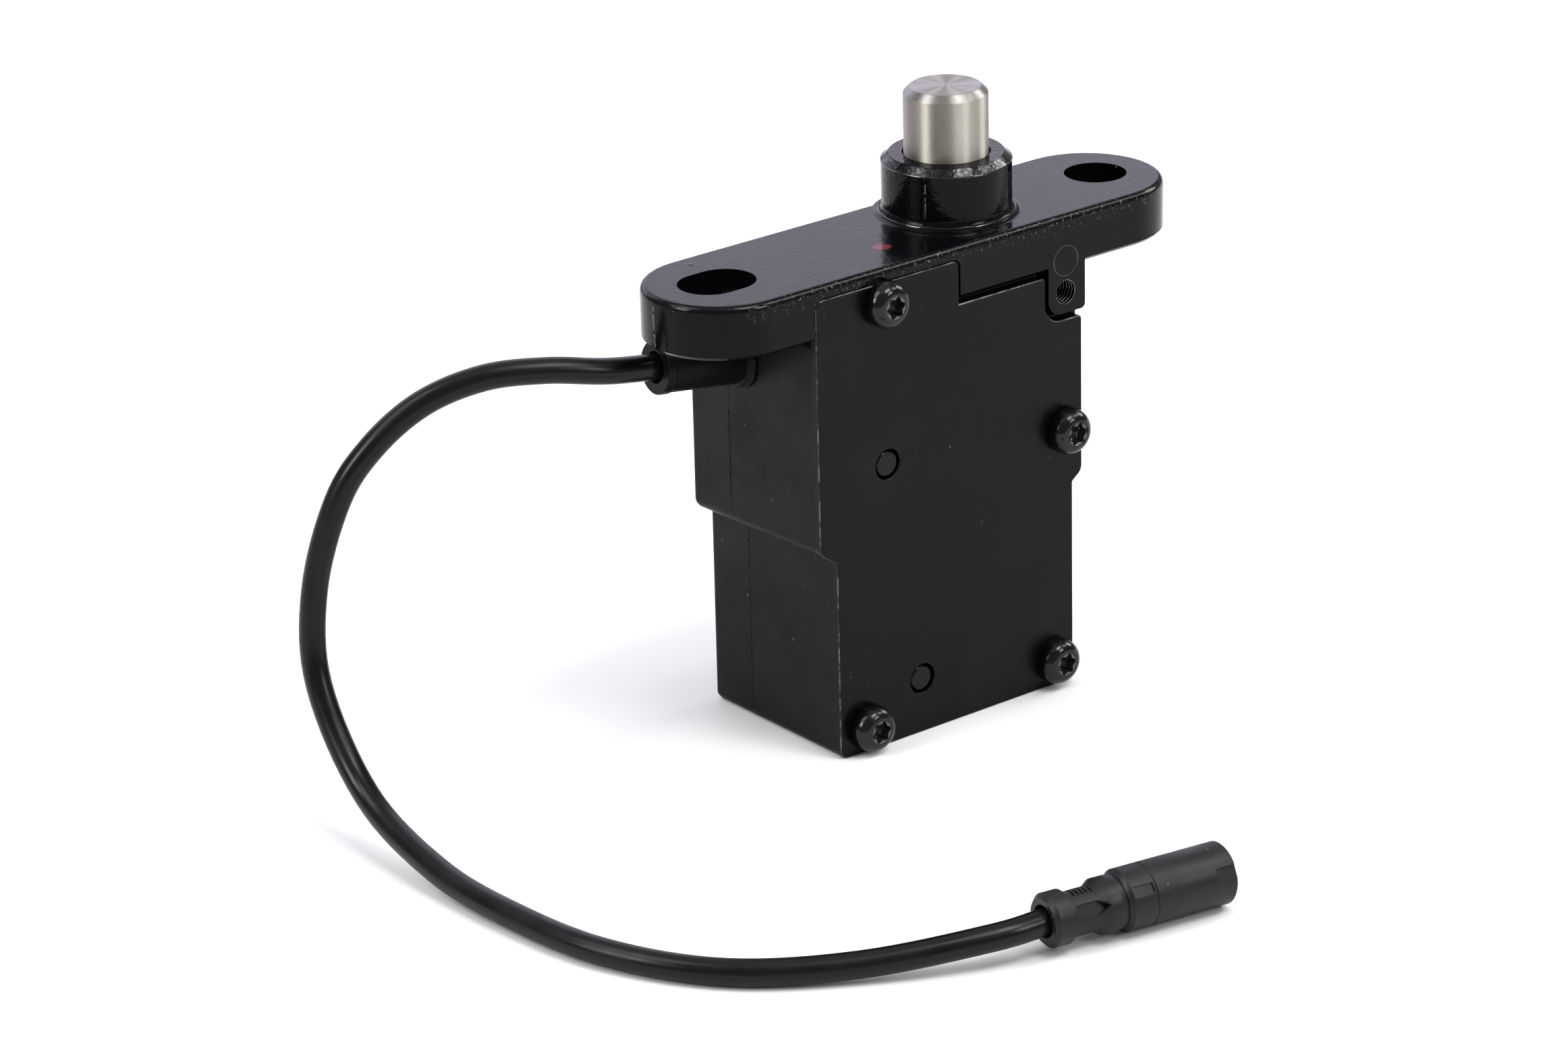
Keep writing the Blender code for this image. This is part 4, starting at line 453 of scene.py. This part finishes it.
# Edge rounding of the pieces that show, in millimetres
EDGE_ROUND = {
    "mounting_flange": 0.22, "housing": 0.18, "front_cover": 0.16, "lock_bolt": 0.12,
    "cable_gland": 0.14, "connector_boot": 0.12, "connector_sleeve": 0.12,
    "guide_post": 0.06, "board_post": 0.06,
    **dict.fromkeys(COVER_SCREWS, 0.14),
}
ROUND_SEGMENTS = 2
WELD_WITHIN = 0.002

# Angles in degrees: sharp edges are rounded, blunt ones look smooth, and the flattest are taken out
ROUND_FROM = 38.0
SMOOTH_BELOW = 36.0
FLAT_BELOW = 0.4


def smooth_mesh(shape, name, material):
    """A mesh with smooth rounds and sharp edges, from a shape that is used up."""
    bmesh.ops.recalc_face_normals(shape, faces=shape.faces)
    mesh = bpy.data.meshes.new(name)
    shape.to_mesh(mesh)
    shape.free()
    mesh.shade_smooth()
    mesh.set_sharp_from_angle(angle=math.radians(SMOOTH_BELOW))
    mesh.materials.append(material)
    return mesh


def dress(node):
    """A welded, smooth copy of a CAD piece with its sharp edges broken, which stands for it."""
    shape = bmesh.new()
    shape.from_mesh(frame["nodes"][node].data)
    bmesh.ops.remove_doubles(shape, verts=shape.verts, dist=WELD_WITHIN * MM)
    bmesh.ops.dissolve_limit(shape, angle_limit=math.radians(FLAT_BELOW),
                             verts=shape.verts, edges=shape.edges)
    width = EDGE_ROUND.get(node, 0.0)
    if width > 0.0:
        sharp = [edge for edge in shape.edges
                 if edge.is_manifold and edge.calc_face_angle(0.0) > math.radians(ROUND_FROM)]
        bmesh.ops.bevel(shape, geom=sharp, offset=width * MM, offset_type="OFFSET", segments=ROUND_SEGMENTS,
                        profile=0.5, affect="EDGES", clamp_overlap=True)
    mesh = smooth_mesh(shape, node + "_surface", FINISHES[SLOT_OF[node]])
    piece = add_object(node + "_surface", mesh, BODY_OF[node])
    flat = piece.modifiers.new("flat_faces", "WEIGHTED_NORMAL")
    flat.keep_sharp = True
    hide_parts(node)
    return piece


dressed = {node: dress(node) for node in frame["nodes"] if node != "cable"}


# Lead

def smooth_route(places, parts):
    """Many points on a smooth curve through the given places."""
    knots = [Vector(place) + BOLT_AXIS for place in places]
    knots = [2 * knots[0] - knots[1]] + knots + [2 * knots[-1] - knots[-2]]
    points = []
    for a, b, c, d in zip(knots, knots[1:], knots[2:], knots[3:]):
        for part in range(parts):
            t = part / parts
            points.append(0.5 * (2 * b + (c - a) * t + (2 * a - 5 * b + 4 * c - d) * t ** 2
                                 + (3 * b - a - 3 * c + d) * t ** 3) * MM)
    points.append(knots[-2] * MM)
    return points


route = smooth_route(CORD_ROUTE, CORD_PARTS)
curve = bpy.data.curves.new("cable_jacket", "CURVE")
curve.dimensions = "3D"
curve.bevel_depth = CORD_DIAMETER / 2 * MM
curve.bevel_resolution = 8
curve.use_fill_caps = True
spline = curve.splines.new("POLY")
spline.points.add(len(route) - 1)
for knot, place in zip(spline.points, route):
    knot.co = (*place, 1.0)
spline.use_smooth = True
curve.materials.append(FINISHES["cable_jacket"])
lead = add_object("cable_jacket", curve, "lock_body")
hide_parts("cable")


# Mould and casting details, from the bolt's axis in millimetres

def add_ridge(shape, start, end, outward, width, height):
    """A narrow ridge with sloping sides on a surface."""
    side = (end - start).cross(outward).normalized()
    corners = [(-width / 2, -RIDGE_SUNK), (width / 2, -RIDGE_SUNK),
               (width / 4, height), (-width / 4, height)]
    rings = []
    for place in (start, end):
        rings.append([shape.verts.new((BOLT_AXIS + place + side * across + outward * out) * MM)
                      for across, out in corners])
    shape.faces.new(rings[0])
    shape.faces.new(rings[1])
    for index in range(len(corners)):
        following = (index + 1) % len(corners)
        shape.faces.new((rings[0][index], rings[0][following], rings[1][following], rings[1][index]))


def add_ring(shape, centre, axis, radius, wire, around=40, across=8):
    """A round wire ring about an axis."""
    first = axis.orthogonal().normalized()
    second = axis.cross(first)
    loops = []
    for step in range(around):
        angle = 2 * math.pi * step / around
        out = first * math.cos(angle) + second * math.sin(angle)
        loop = []
        for part in range(across):
            turn = 2 * math.pi * part / across
            offset = out * (radius + wire * math.cos(turn)) + axis * (wire * math.sin(turn))
            loop.append(shape.verts.new((BOLT_AXIS + centre + offset) * MM))
        loops.append(loop)
    for here, following in zip(loops, loops[1:] + loops[:1]):
        for part in range(across):
            other = (part + 1) % across
            shape.faces.new((here[part], here[other], following[other], following[part]))


def add_drop(shape, centre, radius, squash, around=16, steps=10):
    """A flattened ball, made in loops from its foot to its head."""
    foot = shape.verts.new((BOLT_AXIS + centre - UP * radius * squash) * MM)
    head = shape.verts.new((BOLT_AXIS + centre + UP * radius * squash) * MM)
    loops = []
    for step in range(1, steps):
        rise = math.pi * step / steps
        loop = []
        for part in range(around):
            turn = 2 * math.pi * part / around
            out = Vector((math.cos(turn), math.sin(turn), 0.0)) * math.sin(rise)
            offset = (out - UP * squash * math.cos(rise)) * radius
            loop.append(shape.verts.new((BOLT_AXIS + centre + offset) * MM))
        loops.append(loop)
    for part in range(around):
        other = (part + 1) % around
        shape.faces.new((foot, loops[0][other], loops[0][part]))
        for here, following in zip(loops, loops[1:]):
            shape.faces.new((here[part], here[other], following[other], following[part]))
        shape.faces.new((head, loops[-1][part], loops[-1][other]))


def add_flash(shape, start, end, outward, seed, most_width=0.3, most_height=0.07):
    """A broken line of flash along a parting line: short ridges of uneven length and width."""
    chance = random.Random(seed)
    along = (end - start).normalized()
    reach = (end - start).length
    spot = 0.0
    while spot < reach:
        length = min(chance.uniform(*FLASH_LENGTHS), reach - spot)
        width = chance.uniform(*FLASH_WIDTH_SHARES) * most_width
        height = chance.uniform(*FLASH_HEIGHT_SHARES) * most_height
        add_ridge(shape, start + along * spot, start + along * (spot + length), outward, width, height)
        spot += length + chance.uniform(*FLASH_GAPS)


def add_detail(shape, name, slot, material=None):
    """An object on the lock's body from a finished shape."""
    add_object(name, smooth_mesh(shape, name, material or FINISHES[slot]), "lock_body")


def make_flange_marks():
    """Flash on the left end and on the collar, beads on the collar, an ejector mark and a drop of paint."""
    shape = bmesh.new()
    left_end = Vector((FLANGE_LOW.x, (FLANGE_LOW.y + FLANGE_HIGH.y) / 2, 0.0)) - BOLT_AXIS
    foot = left_end + UP * (FLANGE_BOTTOM + END_FLASH_FOOT)
    head = left_end + UP * (FLANGE_TOP - END_FLASH_HEAD)
    add_flash(shape, foot, head, LEFT, **END_FLASH)

    angle = math.radians(COLLAR_FLASH_ANGLE)
    out = Vector((math.cos(angle), math.sin(angle), 0.0))
    foot = out * COLLAR_RADIUS + UP * (FLANGE_TOP + COLLAR_FLASH_FOOT)
    head = out * COLLAR_RADIUS + UP * (COLLAR_TOP - COLLAR_FLASH_HEAD)
    add_flash(shape, foot, head, out, **COLLAR_FLASH)

    bead_radius = COLLAR_RADIUS + COLLAR_BEAD_RISE
    add_ring(shape, UP * (FLANGE_TOP + COLLAR_BEAD_RISE), UP, bead_radius, COLLAR_BEAD, COLLAR_FACETS)
    add_ring(shape, UP * CHAMFER_FOOT, UP, COLLAR_RADIUS - CHAMFER_BEAD / 3, CHAMFER_BEAD, COLLAR_FACETS)

    face = BACKWARDS * (FRONT_FACE - BOLT_AXIS.y)
    add_ring(shape, EJECTOR_MARK + face, BACKWARDS, EJECTOR_RADIUS, EJECTOR_WIRE)

    add_drop(shape, PAINT_DROP + UP * FLANGE_TOP, PAINT_DROP_RADIUS, PAINT_DROP_SQUASH)
    add_detail(shape, "flange_marks", "cast_black", gloss_beads())


def make_ear_threads():
    """Threads cut into the painted ear, back from its mouth."""
    shape = bmesh.new()
    mouth = EAR_HOLE + BACKWARDS * (FRONT_FACE - BOLT_AXIS.y)
    for turn in range(THREADS):
        depth = THREAD_CREST + turn * THREAD_PITCH
        add_ring(shape, mouth + BACKWARDS * depth, BACKWARDS, EAR_HOLE_RADIUS, THREAD_CREST)
    add_detail(shape, "ear_threads", "plain_steel", plain_metal("cut_casting", (0.26, 0.26, 0.26), 0.3))


def make_housing_flash():
    """Flash where the two halves of the housing's mould met, down its left walls."""
    shape = bmesh.new()
    for wall, low, high, seed in HOUSING_SEAMS:
        head = Vector((-wall, HOUSING_SEAM_DEPTH, high))
        foot = Vector((-wall, HOUSING_SEAM_DEPTH, low))
        add_flash(shape, head, foot, LEFT, seed)
    add_detail(shape, "housing_flash", "housing_black")


def make_gland_flash():
    """Parting line along the gland's sleeve and the rolled rim at its end."""
    shape = bmesh.new()
    out = (GLAND_SEAM_SIDE - GLAND_ALONG * GLAND_SEAM_SIDE.dot(GLAND_ALONG)).normalized()
    side = GLAND_ROOT + out * GLAND_RADIUS
    start = side + GLAND_ALONG * GLAND_SEAM_START
    end = side + GLAND_ALONG * GLAND_SEAM_END
    add_flash(shape, start, end, out, seed=5)
    add_ring(shape, GLAND_ROOT + GLAND_ALONG * GLAND_RIM_PLACE, GLAND_ALONG, GLAND_RADIUS, GLAND_RIM_WIRE)
    add_detail(shape, "gland_flash", "black_rubber")


make_flange_marks()
make_ear_threads()
make_housing_flash()
make_gland_flash()


# Floor, light and camera

def make_floor():
    shape = bmesh.new()
    bmesh.ops.create_grid(shape, x_segments=1, y_segments=1, size=FLOOR_REACH)
    mesh = bpy.data.meshes.new("floor")
    shape.to_mesh(mesh)
    shape.free()
    finish = Finish("pale_floor", (0.82, 0.82, 0.82), 0.7, specular=0.1)
    mesh.materials.append(finish.material)
    add_object("floor", mesh)


def add_light(name, place, size, power, colour=(1.0, 1.0, 1.0)):
    """A soft box that faces the lock, in metres and watts."""
    middle = Vector((0.0, 0.0, 0.04))
    light = bpy.data.lights.new(name, "AREA")
    light.shape = "RECTANGLE"
    light.size, light.size_y = size
    light.energy = power
    light.color = colour
    lamp = bpy.data.objects.new(name, light)
    lamp.location = place
    lamp.rotation_euler = (middle - Vector(place)).to_track_quat("-Z", "Y").to_euler()
    bpy.context.scene.collection.objects.link(lamp)


def add_lights():
    add_light("top_box", (0.0, 0.1, 0.9), (1.0, 1.0), 1.9)
    add_light("front_box", (0.1, -0.42, 0.82), (0.34, 0.34), 3.8)
    add_light("left_box", (-0.52, 0.2, 0.75), (0.4, 0.4), 2.4)
    add_light("right_box", (0.8, -0.1, 0.48), (0.35, 0.35), 3.1)
    add_light("left_low", (-0.82, 0.13, 0.46), (0.3, 0.3), 3.3)
    add_light("front_low", (0.27, -0.76, 0.5), (0.25, 0.3), 2.2)
    add_light("edge_box", (0.55, -0.36, 0.7), (0.3, 0.3), 1.5)
    add_light("back_box", (0.35, 0.95, 0.55), (1.4, 0.8), 5.0, (0.86, 0.81, 1.0))


def make_world():
    world = bpy.data.worlds.new("studio")
    world.use_nodes = True
    background = world.node_tree.nodes["Background"]
    background.inputs["Color"].default_value = (0.96, 0.97, 1.0, 1.0)
    background.inputs["Strength"].default_value = 0.32
    bpy.context.scene.world = world


def make_camera():
    data = bpy.data.cameras.new("photo_camera")
    data.sensor_fit = "HORIZONTAL"
    data.sensor_width = SENSOR_WIDTH
    data.lens = FOCAL_PIXELS * SENSOR_WIDTH / PHOTO_WIDTH
    data.clip_start = 0.01
    data.clip_end = 20.0
    camera = bpy.data.objects.new("photo_camera", data)
    camera.location = CAMERA_PLACE * MM
    camera.rotation_euler = [math.radians(angle) for angle in CAMERA_TURN]
    bpy.context.scene.collection.objects.link(camera)
    bpy.context.scene.camera = camera


make_floor()
add_lights()
make_world()
make_camera()
bpy.context.scene.view_settings.view_transform = "Standard"

bpy.context.view_layer.update()
